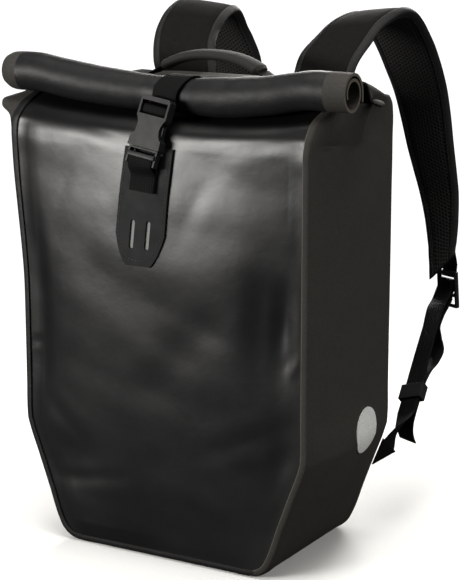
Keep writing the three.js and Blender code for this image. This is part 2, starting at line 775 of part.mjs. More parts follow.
// The shelf of cloth at each end of the roll, where the gusset's folded layers are joined
function makeFoldTab(side) {
  const root = foldPoint(1).add(point(4 * clearance, 0, 2.2));
  const rows = [
    { along: 0, size: 0.76 },
    { along: 0.35, size: 1 },
    { along: 0.75, size: 0.95 },
    { along: 1, size: 0.48 },
  ];
  const flatness = 0.62;
  const lobe = 0.35;
  return loft(rows.map((row) => Array.from({ length: 8 }, (_, k) => {
    const angle = (k / 8) * 2 * Math.PI;
    const reach = foldTabRadius * row.size * (1 + lobe * Math.abs(Math.cos(angle)));
    const y = root.y - 3 * row.along + reach * Math.cos(angle);
    const z = root.z - 2 * row.along + reach * flatness * Math.sin(angle);
    return point(side * (root.x + foldTabLength * row.along), y, z);
  })));
}
add("fold_tab_right", makeFoldTab(1), "matte");
add("fold_tab_left", makeFoldTab(-1), "matte");

// The closure runs up the front with a slight turn; this is its middle at a height
function closureX(z) {
  return closureFootX + (z - patchFoot) * Math.tan(degrees(closureTurn));
}
const patchSeat = clearance + 0.25;

function makePatch() {
  const belly = 1.2;
  const rows = [
    { z: patchFoot, width: patchFootWidth - 6 },
    { z: patchFoot + 3, width: patchFootWidth },
  ];
  for (const t of [0.4, 0.72]) {
    rows.push({ z: mix(patchFoot, patchShoulder, t), width: mix(patchFootWidth, patchWidth, t) + belly });
  }
  for (const t of [0, 0.2, 0.4, 0.6, 0.8, 1]) {
    rows.push({ z: mix(patchShoulder, patchTop, t), width: mix(patchWidth, patchTopWidth, t) });
  }
  const grid = rows.map((row) => [-1, -0.5, 0, 0.5, 1].map((s) => {
    const x = closureX(row.z) + (s * row.width) / 2;
    return point(x, frontY(x, row.z) - patchSeat - patchWall, row.z);
  }));
  const slot = new THREE.Shape();
  const straight = (patchSlotLength - patchSlotWidth) / 2;
  slot.absarc(0, straight, patchSlotWidth / 2, 0, Math.PI, false);
  slot.absarc(0, -straight, patchSlotWidth / 2, Math.PI, 2 * Math.PI, false);
  const cutters = [-0.5, 0.5].map((place) => {
    const through = { depth: 40, bevelEnabled: false, curveSegments: 4 };
    const tool = new THREE.ExtrudeGeometry(slot, through);
    tool.rotateX(Math.PI / 2);
    tool.rotateY(degrees(closureTurn));
    const x = closureX(patchShoulder) + place * patchSlotSpacing;
    tool.translate(x, frontFace + 10, patchShoulder);
    return tool;
  });
  return cut(sheet(grid, patchWall), cutters);
}
add("closure_patch", makePatch(), "patch");

// The buckle lies between the patch's face and the webbing that comes down over the roll
const maleFootZ = buckleHeight - maleLength;
const patchFaceAt = (z) => frontY(closureX(z), z) - patchSeat - patchWall;
const buckleTopX = closureX(buckleHeight) + femaleLength * Math.sin(degrees(buckleTurn));
const rollSeat = clearance + 0.4;
const buckleBack = patchFaceAt(maleFootZ) - webbingWall - 3 * clearance;
const buckleTopZ = buckleHeight + femaleLength * 0.95;
const buckleTopBack = rollPoint(buckleTopX, 0.5, rollSeat + webbingWall + 1).y;
const buckleLean = Math.atan2(buckleTopBack - buckleBack, buckleTopZ - maleFootZ);
const buckleY = mix(buckleBack, buckleTopBack, (buckleHeight - maleFootZ) / (buckleTopZ - maleFootZ));

const buckle = new THREE.Group();
buckle.rotation.order = "YXZ";
buckle.rotation.x = Math.PI / 2 - buckleLean;
buckle.rotation.z = -degrees(buckleTurn);
buckle.position.set(
  closureX(buckleHeight),
  buckleY - (buckleThickness / 2) / Math.cos(buckleLean),
  buckleHeight,
);
bag.add(buckle);

const slotWide = webbingWidth + 1.6;
const topBarFoot = femaleLength - buckleBar;
const midBarTop = topBarFoot - buckleSlot;
const midBarFoot = midBarTop - buckleBar;
const frameTop = midBarFoot - buckleSlot + 1;
const cavityHalf = buckleWidth / 2 - 3.2;
const cavityThickness = prongThickness + 2 * clearance;
const barFace = 0.8;

function makeFemale() {
  const [half, neck] = [buckleWidth / 2, buckleNeckWidth / 2];
  const [low, high] = [0.21 * femaleLength, 0.6 * femaleLength];
  const waist = neck - 6.5;
  const shape = new THREE.Shape();
  shape.moveTo(-half, 0);
  shape.lineTo(half, 0);
  shape.lineTo(half - 0.4, low - 1.5);
  shape.lineTo(half - 2.5, low);
  shape.quadraticCurveTo(waist, mix(low, high, 0.5), neck, high);
  shape.lineTo(neck, femaleLength - 2);
  shape.lineTo(neck - 2, femaleLength);
  shape.lineTo(2 - neck, femaleLength);
  shape.lineTo(-neck, femaleLength - 2);
  shape.lineTo(-neck, high);
  shape.quadraticCurveTo(-waist, mix(low, high, 0.5), 2.5 - half, low);
  shape.lineTo(0.4 - half, low - 1.5);
  shape.closePath();
  const flat = { depth: buckleThickness, bevelEnabled: false, curveSegments: 6 };
  const body = new THREE.ExtrudeGeometry(shape, flat);
  body.translate(0, 0, -buckleThickness / 2);
  const cavityTop = frameTop - 2.5;
  const cavity = boxAt(2 * cavityHalf, cavityTop + 2, cavityThickness, 0, cavityTop / 2 - 1, 0);
  const through = 2 * buckleThickness;
  const upperSlot = boxAt(slotWide, buckleSlot, through, 0, midBarTop + buckleSlot / 2, 0);
  const lowerSlot = boxAt(slotWide, midBarFoot - frameTop, through, 0, (midBarFoot + frameTop) / 2, 0);
  const recessMiddle = (topBarFoot + frameTop) / 2;
  const recessLift = barFace + buckleThickness;
  const recess = boxAt(slotWide, topBarFoot - frameTop, through, 0, recessMiddle, recessLift);
  return cut(body, [cavity, upperSlot, lowerSlot, recess]);
}
add("buckle_female", makeFemale(), "plastic", buckle);

const maleSlotTop = -2;
const maleBarTop = maleSlotTop - buckleSlot;
const maleBarFoot = maleBarTop - buckleBar;

function makeMale() {
  const rail = (maleWidth - slotWide) / 2;
  const railLength = maleLength - clearance;
  const railMiddle = -(maleLength + clearance) / 2;
  const side = boxAt(rail, railLength, maleThickness, (maleWidth - rail) / 2, railMiddle, 0);
  const headLength = -maleSlotTop - clearance;
  const head = boxAt(maleWidth, headLength, maleThickness, 0, (maleSlotTop - clearance) / 2, 0);
  const barMiddle = (maleBarTop + maleBarFoot) / 2;
  const bar = boxAt(maleWidth, buckleBar - 2 * clearance, maleThickness * 0.7, 0, barMiddle, 0);
  const inner = cavityHalf - clearance;
  const prong = new THREE.Shape();
  prong.moveTo(inner - prongWidth, -1);
  prong.lineTo(inner, -1);
  prong.lineTo(inner, 0.24 * femaleLength);
  prong.lineTo(buckleWidth / 2 - 2, 0.31 * femaleLength);
  prong.lineTo(buckleWidth / 2 - 2.6, prongReach - 2);
  prong.lineTo(inner - 1.6, prongReach);
  prong.lineTo(inner - 3.2, 0.3 * femaleLength);
  prong.closePath();
  const arm = new THREE.ExtrudeGeometry(prong, { depth: prongThickness, bevelEnabled: false });
  arm.translate(0, 0, -prongThickness / 2);
  const guideLength = 0.8 * prongReach;
  const guide = boxAt(guideWidth, guideLength, prongThickness - 1, 0, guideLength / 2 - 1, 0);
  let solid = toSolid(head).add(toSolid(bar)).add(toSolid(guide));
  for (const piece of [side, arm]) {
    solid = solid.add(toSolid(piece)).add(toSolid(mirrored(piece)));
  }
  return toGeometry(solid);
}
add("buckle_male", makeMale(), "plastic", buckle);

buckle.updateMatrixWorld(true);
const onBuckle = (y, z) => point(0, y, z).applyMatrix4(buckle.matrixWorld);
const buckleAcross = point(1, 0, 0).transformDirection(buckle.matrixWorld);

function band(stations, width) {
  return loft(bandRings(stations, webbingOutline(width, webbingWall)));
}

// Sewn on the patch, up behind the lower bar of the buckle, over it and down in front
function makeLowerWebbing() {
  const across = point(1, 0, Math.sin(degrees(closureTurn)));
  const onPatch = (t, layer) => {
    const z = mix(lowerWebbingFoot, maleFootZ, t);
    const y = patchFaceAt(z) - clearance - 0.3 - webbingWall * (layer + 0.5) - layer * clearance;
    return { centre: point(closureX(z), y, z), across };
  };
  const behind = -maleThickness * 0.35 - webbingWall / 2 - clearance;
  const loop = [
    onBuckle(maleBarFoot - 1.6, behind - 0.1),
    onBuckle(maleBarTop - 0.8, behind - 0.1),
    onBuckle(maleBarTop + 0.7, behind + 0.44),
    onBuckle(maleBarTop + 1.2, -1.2),
    onBuckle(maleBarTop + 1.2, 1.2),
    onBuckle(maleBarTop + 0.7, -behind - 0.44),
    onBuckle(maleBarTop - 0.8, 0.1 - behind),
    onBuckle(maleBarFoot - 1.4, -behind - 0.1),
    onBuckle(-maleLength - 1, -behind - 1.6),
  ];
  const stations = [onPatch(0.05, 0), onPatch(0.4, 0), onPatch(0.75, 0)];
  loop.forEach((centre) => stations.push({ centre, across: buckleAcross }));
  stations.push(onPatch(0.6, 1), onPatch(0.3, 1), onPatch(0, 1));
  return band(stations, webbingWidth);
}
add("closure_webbing_lower", makeLowerWebbing(), "webbing");

// The height of the back panel's top at a place forward of the ears
function topHeight(x, y) {
  let best = backPoint(0, 1, 0);
  for (let lean = 0.4; lean <= 1; lean += 0.01) {
    const edge = backEdge(lean);
    const here = backPoint(x / edge.x, lean, 0);
    if (Math.abs(here.y - y) < Math.abs(best.y - y)) {
      best = here;
    }
  }
  return best.z;
}
const topSeat = clearance + 0.9 + webbingWall / 2;

function makeUpperWebbing() {
  const middle = (midBarFoot + frameTop) / 2;
  const over = barFace + clearance + webbingWall / 2 + 0.4;
  const under = -buckleThickness / 2 - webbingWall / 2 - clearance;
  const woven = [
    onBuckle(middle, -2.6),
    onBuckle(middle, 1),
    onBuckle(midBarFoot - 0.5, over),
    onBuckle(midBarFoot + 0.9, over),
    onBuckle(midBarTop - 0.9, over),
    onBuckle(midBarTop + 0.6, over - 0.3),
    onBuckle(midBarTop + 1.7, 0.5),
    onBuckle(topBarFoot - 1.6, under + 1.5),
    onBuckle(topBarFoot - 0.6, under + 0.1),
    onBuckle(topBarFoot + 1.6, under - 0.25),
  ];
  const lift = rollSeat + webbingWall / 2;
  const flat = point(1, 0, 0);
  const stations = woven.map((centre) => ({ centre, across: buckleAcross }));
  for (const row of closureRows) {
    const seat = lift + row.lift * webbingWall;
    stations.push({ centre: rollPoint(row.shift * webbingWidth, row.turn, seat), across: flat });
  }
  for (const t of [0, 0.5, 1]) {
    const y = mix(closureRest, frontFace + closureAnchorSetback, t);
    const x = mix(closureRestX, closureAnchorX, t);
    const z = topHeight(x, y) + topSeat + closureArch * (1 - t);
    stations.push({ centre: point(x, y, z), across: flat });
  }
  return band(stations, webbingWidth);
}
add("closure_webbing_upper", makeUpperWebbing(), "webbing");

// The handle: a padded grip between two webbing ends sewn on the top of the back
const handleY = frontFace + handleSetback;
const gripRise = (t) => 1 - Math.abs(t) ** 2.4;

function gripPlace(t) {
  const z = handleHeight - handlePadding / 2 - gripDrop * (1 - gripRise(t));
  return point(handleOffset + t * (handleLength / 2), handleY, z);
}

function makeGrip() {
  const places = [-1, -0.94, -0.8, -0.6, -0.3, 0, 0.3, 0.6, 0.8, 0.94, 1];
  const stations = places.map((t) => ({ centre: gripPlace(t), across: point(0, 1, 0), t }));
  return loft(bandRings(stations, ({ t }) => {
    const end = Math.abs(t) > 0.97 ? 0.72 : 1;
    const [w, h] = [(handleWidth / 2) * end, (handlePadding / 2) * end];
    const ring = [];
    for (let k = 0; k < 10; k += 1) {
      const angle = (k / 10) * 2 * Math.PI;
      const rise = Math.abs(Math.sin(angle)) ** 0.7;
      ring.push([w * Math.cos(angle), h * Math.sign(Math.sin(angle)) * rise]);
    }
    return ring;
  }));
}
add("handle_grip", makeGrip(), "grip");

function makeHandleEnd(side) {
  const gripEnd = gripPlace(side);
  const start = handleOffset + side * (handleLength / 2 + clearance + 0.2);
  const end = handleOffset + side * (handleSpan / 2);
  const places = [0, 0.18, 0.4, 0.7, 1].map((t) => {
    const x = mix(start, end, t);
    const seat = topHeight(x, handleY) + topSeat;
    const z = Math.max(seat, mix(gripEnd.z - 0.6, seat, ease(t * 2.6)));
    return { centre: point(x, handleY, z), across: point(0, 1, 0) };
  });
  return band(places, handleWidth - 3);
}
add("handle_webbing_right", makeHandleEnd(1), "webbing");
add("handle_webbing_left", makeHandleEnd(-1), "webbing");

// Shoulder straps: padded bands from the back panel up, over and down to a narrow end
function padOutline({ wide, thick }) {
  const w = (strapWidth / 2) * wide;
  const t = (strapPadding / 2) * thick;
  const e = Math.min(t * 0.8, strapEdge / 2);
  const shelf = w - Math.min(5, w * 0.25);
  return [[-w, -e], [-shelf, -t], [shelf, -t], [w, -e], [w, e], [shelf, t], [-shelf, t], [-w, e]];
}

function strapPlace(row) {
  return point(
    mix(strapRootX, strapEndX, row.spread),
    backFace + strapSeat + strapReach * row.reach,
    mix(strapFoot, strapCrest, row.height),
  );
}

// The direction across a band, turned about the upright and rolled about its run
function acrossOf(turn, roll) {
  const direction = point(1, 0, Math.tan(degrees(roll)));
  return direction.applyAxisAngle(point(0, 0, 1), degrees(turn)).normalize();
}

function makeStrap(lay) {
  const stations = strapRows.map((row) => {
    const raised = ease((row.height - 0.79) * 8);
    const centre = strapPlace(row).add(point(lay.out * raised, 0, 0));
    return { ...row, centre, across: acrossOf(-lay.turn * raised * (1 - row.reach), row.roll) };
  });
  return loft(bandRings(stations, padOutline));
}

// A place of the adjuster or of the anchor tab, from its shares
function hangPlace(row) {
  return point(
    mix(strapEndX, anchorX, row.out),
    backFace + strapReach * row.back,
    mix(anchorHeight, lockHeight, row.up),
  );
}

// The ladder lock hangs behind the end of the strap on a short stub of webbing
const last = strapRows.length - 1;
const stubRows = [strapRows[last - 4], strapRows[last - 3], strapRows[last - 2]];
const stubFace = (row) => {
  const off = (strapPadding / 2) * row.thick + clearance + 0.4 + webbingWall / 2;
  return strapPlace(row).add(point(0, off, 0));
};
const lockY = stubFace(stubRows[2]).y + 8;
const lockMatrix = new THREE.Matrix4().makeRotationZ(degrees(lockTurn));
lockMatrix.multiply(new THREE.Matrix4().makeRotationX(Math.PI / 2 + degrees(lockLean)));
lockMatrix.setPosition(strapEndX - 1, lockY, lockHeight);
const onLock = (y, z) => point(0, y, z).applyMatrix4(lockMatrix);
const lockAcross = point(1, 0, 0).transformDirection(lockMatrix);
const lockHalf = lockLength / 2;
const lockSlot = (lockLength - 4 * lockBar) / 3;
const lockSlotWide = adjusterWidth + 1.6;
const topBar = lockHalf - lockBar;
const upperBar = topBar - lockSlot - lockBar;
const lowerBar = upperBar - lockSlot - lockBar;
const lockFace = lockThickness / 2 + clearance + webbingWall / 2 + 0.15;

function makeLock() {
  const frame = boxAt(lockWidth, lockLength, lockThickness, 0, 0, 0);
  const slots = [topBar, upperBar, lowerBar].map((foot) => {
    return boxAt(lockSlotWide, lockSlot, 2 * lockThickness, 0, foot - lockSlot / 2, 0);
  });
  return cut(frame, slots).applyMatrix4(lockMatrix);
}

// Turns of webbing round the top of a bar of the lock, from one face (1) to the other
function roundBar(foot, face) {
  const near = lockFace - 0.1;
  return [
    onLock(foot + lockBar / 2, face * lockFace),
    onLock(foot + lockBar + 0.4, face * near),
    onLock(foot + lockBar + 1.6, face * (near - 1.2)),
    onLock(foot + lockBar + 1.6, face * (1.2 - near)),
    onLock(foot + lockBar + 0.4, -face * near),
    onLock(foot + lockBar / 2, -face * lockFace),
  ];
}

function makeStub() {
  const stations = stubRows.map((row) => ({ centre: stubFace(row), across: point(1, 0, 0) }));
  const hook = [
    onLock(lockHalf + 6, -lockFace + 0.6),
    onLock(lockHalf + 1.5, -lockFace),
    onLock(topBar + lockBar / 2, -lockFace),
    onLock(topBar - 0.6, 0.5 - lockFace),
    onLock(topBar - 1.5, 0),
    onLock(topBar - 1.2, 1.6),
  ];
  hook.forEach((centre, i) => {
    stations.push({ centre, across: i === 0 ? acrossOf(lockTurn / 2, 0) : lockAcross });
  });
  return band(stations, adjusterWidth);
}

// A triangle of doubled cloth sewn in the back seam; the adjuster is sewn on its free edge
const tabCorners = tabRows.map((row) => hangPlace(row).add(point(0, tabSeat, 0)));
const tabNormal = tabCorners[1].clone().sub(tabCorners[0]);
tabNormal.cross(tabCorners[2].clone().sub(tabCorners[0])).normalize();

// One webbing from the anchor tab up to the lock, woven round its bars, and its tail back
function makeAdjuster() {
  const station = (row) => ({ centre: hangPlace(row), across: acrossOf(row.turn, row.roll ?? 0) });
  const woven = [
    onLock(lowerBar + lockBar, lockFace + webbingWall + 2.6),
    ...roundBar(upperBar, 1),
    onLock(upperBar - 0.4, 0.1 - lockFace),
    onLock(upperBar - 1.6, 1.3 - lockFace),
    onLock(lowerBar + lockBar + 1.6, lockFace - 1.3),
    onLock(lowerBar + lockBar + 0.4, lockFace - 0.1),
    onLock(lowerBar + lockBar / 2, lockFace + 0.2),
    onLock(lowerBar - 1, lockFace + 0.9),
    onLock(lowerBar - 3.5, lockFace + 2.4),
  ];
  const [top, , tip] = tabCorners;
  const edge = top.clone().sub(tip).normalize();
  const away = edge.clone().cross(tabNormal);
  const start = top.clone().lerp(tip, 0.5);
  start.addScaledVector(away, clearance + 0.6).addScaledVector(tabNormal, tabWall / 2);
  const stations = [{ centre: start, across: edge }, ...adjusterRise.map(station)];
  woven.forEach((centre) => stations.push({ centre, across: lockAcross }));
  adjusterTail.forEach((row) => stations.push(station(row)));
  return band(stations, adjusterWidth);
}

// A sleeve of webbing that holds the two layers of the adjuster together
function makeKeeper() {
  const [before, rise, after] = adjusterRise.slice(2, 5).map(hangPlace);
  const tail = hangPlace(adjusterTail[7]);
  const run = after.clone().sub(before).normalize();
  const across = acrossOf(adjusterRise[3].turn, 0);
  across.addScaledVector(run, -across.dot(run)).normalize();
  const normal = across.clone().cross(run);
  const gap = Math.abs(tail.clone().sub(rise).dot(normal));
  const sidePlay = 4 * clearance;
  const layers = gap + webbingWall;
  const inside = { width: adjusterWidth + 2 * sidePlay, depth: layers + 2 * clearance + keeperPlay };
  const outside = { width: inside.width + 2 * keeperWall, depth: inside.depth + 2 * keeperWall };
  const sleeve = cut(
    boxAt(outside.width, outside.depth, keeperLength, 0, 0, 0),
    [boxAt(inside.width, inside.depth, 2 * keeperLength, 0, 0, 0)],
  );
  const frame = new THREE.Matrix4().makeBasis(across, normal, across.clone().cross(normal));
  frame.setPosition(rise.lerp(tail, 0.5));
  return sleeve.applyMatrix4(frame);
}

function makeTab() {
  const under = tabCorners.map((corner) => corner.clone().addScaledVector(tabNormal, tabWall));
  return loft([tabCorners, under]);
}

const sides = [
  { name: "right", build: (geometry) => geometry },
  { name: "left", build: mirrored },
];
for (const { name, build } of sides) {
  add(`shoulder_strap_${name}`, build(makeStrap(strapLays[name])), "padded");
  add(`lock_stub_${name}`, build(makeStub()), "webbing");
  add(`ladder_lock_${name}`, build(makeLock()), "plastic");
  add(`adjuster_webbing_${name}`, build(makeAdjuster()), "webbing");
  add(`keeper_${name}`, build(makeKeeper()), "webbing");
  add(`anchor_tab_${name}`, build(makeTab()), "matte");
}

// The round badge lies on the side of the bag: a disc cut from a skin over the gusset
function makeBadge() {
  const sections = outline.map(gussetSection);
  const centreY = frontFace + badgeSetback;
  const sideX = (y, z) => {
    const along = sections.map((section) => {
      const k = Math.max(1, section.findIndex((p) => p.y > y));
      const [a, b] = [section[k - 1], section[k]];
      return a.clone().lerp(b, (y - a.y) / (b.y - a.y));
    });
    const i = along.findIndex((p, n) => n > 0 && p.x > 0 && p.z > z);
    const [low, high] = [along[i - 1], along[i]];
    return mix(low.x, high.x, (z - low.z) / (high.z - low.z));
  };
  const shares = [-1, -0.7, -0.35, 0, 0.35, 0.7, 1];
  const reach = badgeDiameter / 2 + 2;
  const grid = shares.map((v) => shares.map((u) => {
    const [y, z] = [centreY + u * reach, badgeHeight + v * reach];
    return point(sideX(y, z) + badgeLift + badgeWall, y, z);
  }));
  const disc = new THREE.CylinderGeometry(badgeDiameter / 2, badgeDiameter / 2, 60, 32);
  disc.rotateZ(Math.PI / 2);
  disc.translate(bodyWidth / 2, centreY, badgeHeight);
  return toGeometry(toSolid(sheet(grid, badgeWall)).intersect(toSolid(disc)));
}
add("side_badge", makeBadge(), "reflective");

export default bag;
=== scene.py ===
"""The looks of a roll-top bicycle messenger backpack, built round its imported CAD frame."""
import math

import bmesh
import bpy
import numpy as np
from mathutils import Matrix, Vector


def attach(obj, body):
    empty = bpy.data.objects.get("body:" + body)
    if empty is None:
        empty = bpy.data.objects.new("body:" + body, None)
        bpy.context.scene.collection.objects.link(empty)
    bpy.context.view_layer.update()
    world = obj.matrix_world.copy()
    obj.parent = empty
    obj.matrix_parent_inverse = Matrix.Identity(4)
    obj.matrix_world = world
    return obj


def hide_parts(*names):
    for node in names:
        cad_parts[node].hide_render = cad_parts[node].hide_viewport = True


bl_info = {
    "name": "Roll-top messenger backpack",
    "version": (1, 0, 0),
    "blender": (4, 5, 0),
    "location": "3D View > Sidebar > Backpack",
    "description": "Cloth, webbing, padding, buckle and stitches of a roll-top backpack",
    "category": "Object",
}

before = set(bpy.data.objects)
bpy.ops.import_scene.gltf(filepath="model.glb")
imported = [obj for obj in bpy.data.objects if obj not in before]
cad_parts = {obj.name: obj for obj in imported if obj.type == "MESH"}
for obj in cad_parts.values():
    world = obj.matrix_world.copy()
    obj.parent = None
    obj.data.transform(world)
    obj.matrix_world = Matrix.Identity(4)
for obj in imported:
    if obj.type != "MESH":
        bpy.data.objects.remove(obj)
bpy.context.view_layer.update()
MM = 0.001

# Sizes that the cloth forms share with the solids, in millimetres
WIDTH, DEPTH, BASE = 300, 163, 218
CHAMFER, SHOULDER, NECK, EAR, CROWN = 112, 385, 426.7, 417, 430
NECK_SETBACK, LAP, CORNER, WALL, GAP = 41.3, 6.5, 4, 1.4, 0.3
CHAMFER_ROUND, BASE_ROUND, FRONT_BULGE, SIDE_BULGE, CHAMFER_PUFF, BACK_BULGE = 24, 26, 16, 6, 4.5, 2.5
EAR_REACH, FOLD = 151, np.array([177, -19.5, 423])
VALLEY, POCKET = 9, 7
ROLL_LENGTH, ROLL_RADIUS, ROLL_PITCH, ROLL_TURNS, ROLL_WALL = 356, 20, 4.6, 1.55, 2.6
SAG, SAG_AT, TONGUE = 12.5, 18, 8.3
FRONT, BACK = -DEPTH / 2, DEPTH / 2
SEAT = WALL + GAP + 0.1
SAG_REACH = WIDTH / 2 - LAP - 2.5
ROLL_Y = FRONT + NECK_SETBACK + GAP + 1.2 - ROLL_RADIUS
ROLL_Z = NECK + GAP + TONGUE
CLOSURE_FOOT, CLOSURE_X, CLOSURE_SLOPE = 276, -12.5, math.tan(math.radians(4.4))
SLOT_HEIGHT, SLOT_SPACING = 304, 16.3

# The middle of the buckle's mouth, its tilt back and its turn in degrees; the bar that holds the webbing
BUCKLE_MOUTH, BUCKLE_TILT, BUCKLE_TURN = (-4.42, -94.46, 381), 17.54, 8.5
LATCH_AT, LATCH_BAR = (0, -7.1, 3.5), (28.4, 4.2, 3)

# The left side's flare under the roll
FLARE, FLARE_FOOT, FLARE_HOLD, FLARE_FALL = 11, CHAMFER + 0.43 * (SHOULDER - CHAMFER), 3, 34

# The even bend of the front at its shoulder: passes, reach up and down, fade at the sides
SHOULDER_PASSES, SHOULDER_REACH, SHOULDER_FADE = 34, 58, 30

# Where the front's waves fade out by its seams, and how far its left margin rolls and comes back
SEAM_FADE, ROLL_IN, ROLL_BACK = 16, 30, 110

# The middle and the half size of the flat cloth behind the patch
PATCH_X, PATCH_Z, PATCH_WIDE, PATCH_TALL = -8, 335, 34, 62

# The columns of the gusset's front lap and where it lies on the left; the cuffs at the roll's ends
LAP_COLUMNS, LAP_FROM, CUFF_FROM = 13, 96, 157

# The patch, and its seam as height and half width
PATCH_SEAT, PATCH_WALL = GAP + 0.25, 1.6
PATCH_SEAM = ((286, 13.5), (292, 17.5), (300, 21.5), (306, 22.9), (330, 22.6), (352, 22.4), (372, 22))

# Where the ends of the grip lie, how much the anchor tabs grow, and what a place at the right is times
GRIP_LEFT, GRIP_RIGHT, TAB_SCALE = (-60, 20, 445), (50, 20, 445), 1.24
SIDES = {"right": np.array([1, 1, 1]), "left": np.array([-1, 1, 1])}

# Places near the first ends of the bands; those of the straps are at the right
CLOSURE_LOW, CLOSURE_HIGH = (-10, -100, 345), (-4, -105, 415)
STRAP_ROOT, WEBBING_FOOT, STUB_END = (68, 83, 395), (146, 96, 92), (118, 270, 260)

# The angle in degrees from which an edge is sharp; a point of a solid band touches so many others
SHARP_CLOTH, SHARP_BAND = 42, 60
NEIGHBOURS = 6

# Materials round a padded strap: tape, outer cloth, tape, tape, spacer mesh, tape
PAD_KINDS = [1] * 5 + [0] * 8 + [1] * 11 + [2] * 8 + [1] * 6

# Camera, in degrees, metres, millimetres and pixels
CAMERA_TURN, CAMERA_PLACE = (30.5, 12.9), (0.8889, -1.4664, 0.6294)
SENSOR, FOCAL_PIXELS, PICTURE_HEIGHT = 36, 1900, 580

# Floor, in metres; its colours as seen and as it lights the bag
FLOOR_HEIGHT, PAPER, PAPER_GLOW = -0.0004, (0.86, 0.86, 0.855), (0.08, 0.08, 0.08)

# Lights: name, power, place, aim, width and height in metres
LIGHT_COLOUR = (1, 0.985, 0.95)
LIGHTS = (
    ("key_light", "key_power", (-1.05, -1.75, 0.66), (0, -0.09, 0.33), 0.95, 0.35),
    ("fill_light", "fill_power", (0.2, -0.1, 2.3), (0, 0, 0.2), 1.6, 1.4),
    ("side_light", "side_power", (2.1, -0.2, 1.1), (0.1, 0.05, 0.25), 0.9, 1.2),
    ("back_light", "back_power", (-0.7, 2.3, 1.1), (0, 0.1, 0.25), 1.3, 1),
)

# Height share and fullness of the front panel
FULLNESS = np.array([
    (0, 0), (0.06, 0.2), (0.16, 0.5), (0.32, 0.8), (0.52, 0.97), (0.72, 1), (0.88, 0.82), (1, 0.48),
])

# Dents of the front panel: across, up, depth, wide, tall, turn
DENTS = (
    (0.8, 0.6, 0.34, 0.17, 0.13, 6), (-0.88, 0.57, 0.3, 0.12, 0.15, 0), (-0.95, 0.42, 0.26, 0.12, 0.05, 0),
    (0.22, 0.52, 0.11, 0.1, 0.16, -38), (-0.66, 0.2, 0.2, 0.2, 0.05, 24), (0.3, 0.97, 0.3, 0.09, 0.05, 0),
    (-0.02, 1, 0.1, 0.16, 0.04, 0), (0.86, 0.3, 0.18, 0.14, 0.07, 20),
)

# Lean of the front above the shoulder: lean, back, up
FRONT_LEAN = np.array([
    (0, 0, 0), (0.2, 0.06, 0.29), (0.38, 0.2, 0.53), (0.54, 0.4, 0.68), (0.68, 0.62, 0.755),
    (0.8, 0.81, 0.83), (0.91, 0.945, 0.92), (1, 1, 1),
])

# Lean of the back above the shoulder: lean, forward, up, rise, out
BACK_LEAN = np.array([
    (0, 0, 0, 0, 0), (0.2, 0, 0.42, 0, 0), (0.38, 0.012, 0.8, 0, 0), (0.5, 0.06, 1, 0.01, 0.01),
    (0.62, 0.25, 1, 0.2, 0.22), (0.76, 0.52, 1, 0.5, 0.52), (0.88, 0.77, 1, 0.77, 0.8), (1, 1, 1, 1, 1),
])

# Columns of the side from the front corner to the back: across, full, valley, pocket
SIDE = np.array([
    (0.1, 0.45, 0.35, 0), (0.18, 0.66, 1, 0), (0.27, 0.82, 0.25, 0), (0.38, 0.95, 0, 0), (0.5, 1, 0, 0),
    (0.6, 0.96, 0, 0.8), (0.7, 0.86, 0, 1), (0.8, 0.66, 0, 0.5), (0.9, 0.38, 0, 0.1),
])

# Girth of the roll from its left end to its right end
GIRTH = np.array([
    (-1, 0.8), (-0.95, 0.96), (-0.86, 1), (-0.79, 0.99), (-0.65, 0.99), (-0.5, 0.98), (-0.32, 0.96),
    (-0.2, 0.93), (-0.09, 0.9), (0.13, 0.9), (0.19, 0.95), (0.27, 0.99), (0.36, 1), (0.55, 0.98),
    (0.79, 0.96), (0.9, 0.97), (1, 0.95),
])
LEANS = (0.1, 0.2, 0.3, 0.4, 0.5, 0.62, 0.76, 0.88, 1)

# The left ear: its row from the mouth, its share in each column of the side, and its push
EAR_ROW, EAR_PUSH = 5.5, (-25, -16, 8)
EAR_COLUMNS = (0, 0, 0, 0.12, 0.6, 1, 1, 0.72, 0.36, 0.12, 0, 0, 0, 0, 0, 0, 0)

# Creases of the front cloth: x, z, turn in degrees, length, width and depth in millimetres
CREASES = (
    (-32, 258, -23, 84, 22, 1.6), (58, 226, -34, 26, 13, 0.4), (74, 214, -58, 22, 10, -0.25),
    (126, 238, 84, 27, 8, 1.5), (138, 200, 60, 10, 5, -1.4), (-130, 268, 88, 34, 8, 1.0),
    (-138, 188, 10, 10, 4, 1.6), (-78, 66, 10, 34, 6, 1.0), (-100, 120, -40, 30, 8, 0.7),
    (62, 404, 8, 16, 5, 1.2), (-60, 392, -12, 26, 6, 0.9), (104, 392, 14, 30, 7, 0.9),
    (80, 352, 0, 72, 50, 2.6), (-94, 352, 0, 58, 50, 1.8), (40, 330, 62, 34, 9, 0.5),
    (-96, 344, 70, 30, 9, 0.6), (92, 128, 24, 44, 9, 0.7), (10, 160, -12, 50, 12, 0.5),
)


def ease(value):
    """A smooth step from 0 to 1."""
    share = np.clip(value, 0, 1)
    return share * share * (3 - 2 * share)


def mix(a, b, t):
    """A value between a and b."""
    return a + (b - a) * t


def unit(vectors):
    """Vectors made one long."""
    return vectors / (np.linalg.norm(vectors, axis=-1, keepdims=True) + 1e-12)


def read(table, at, column=1):
    """One column of a table at a value of its first column."""
    return np.interp(at, table[:, 0], table[:, column])


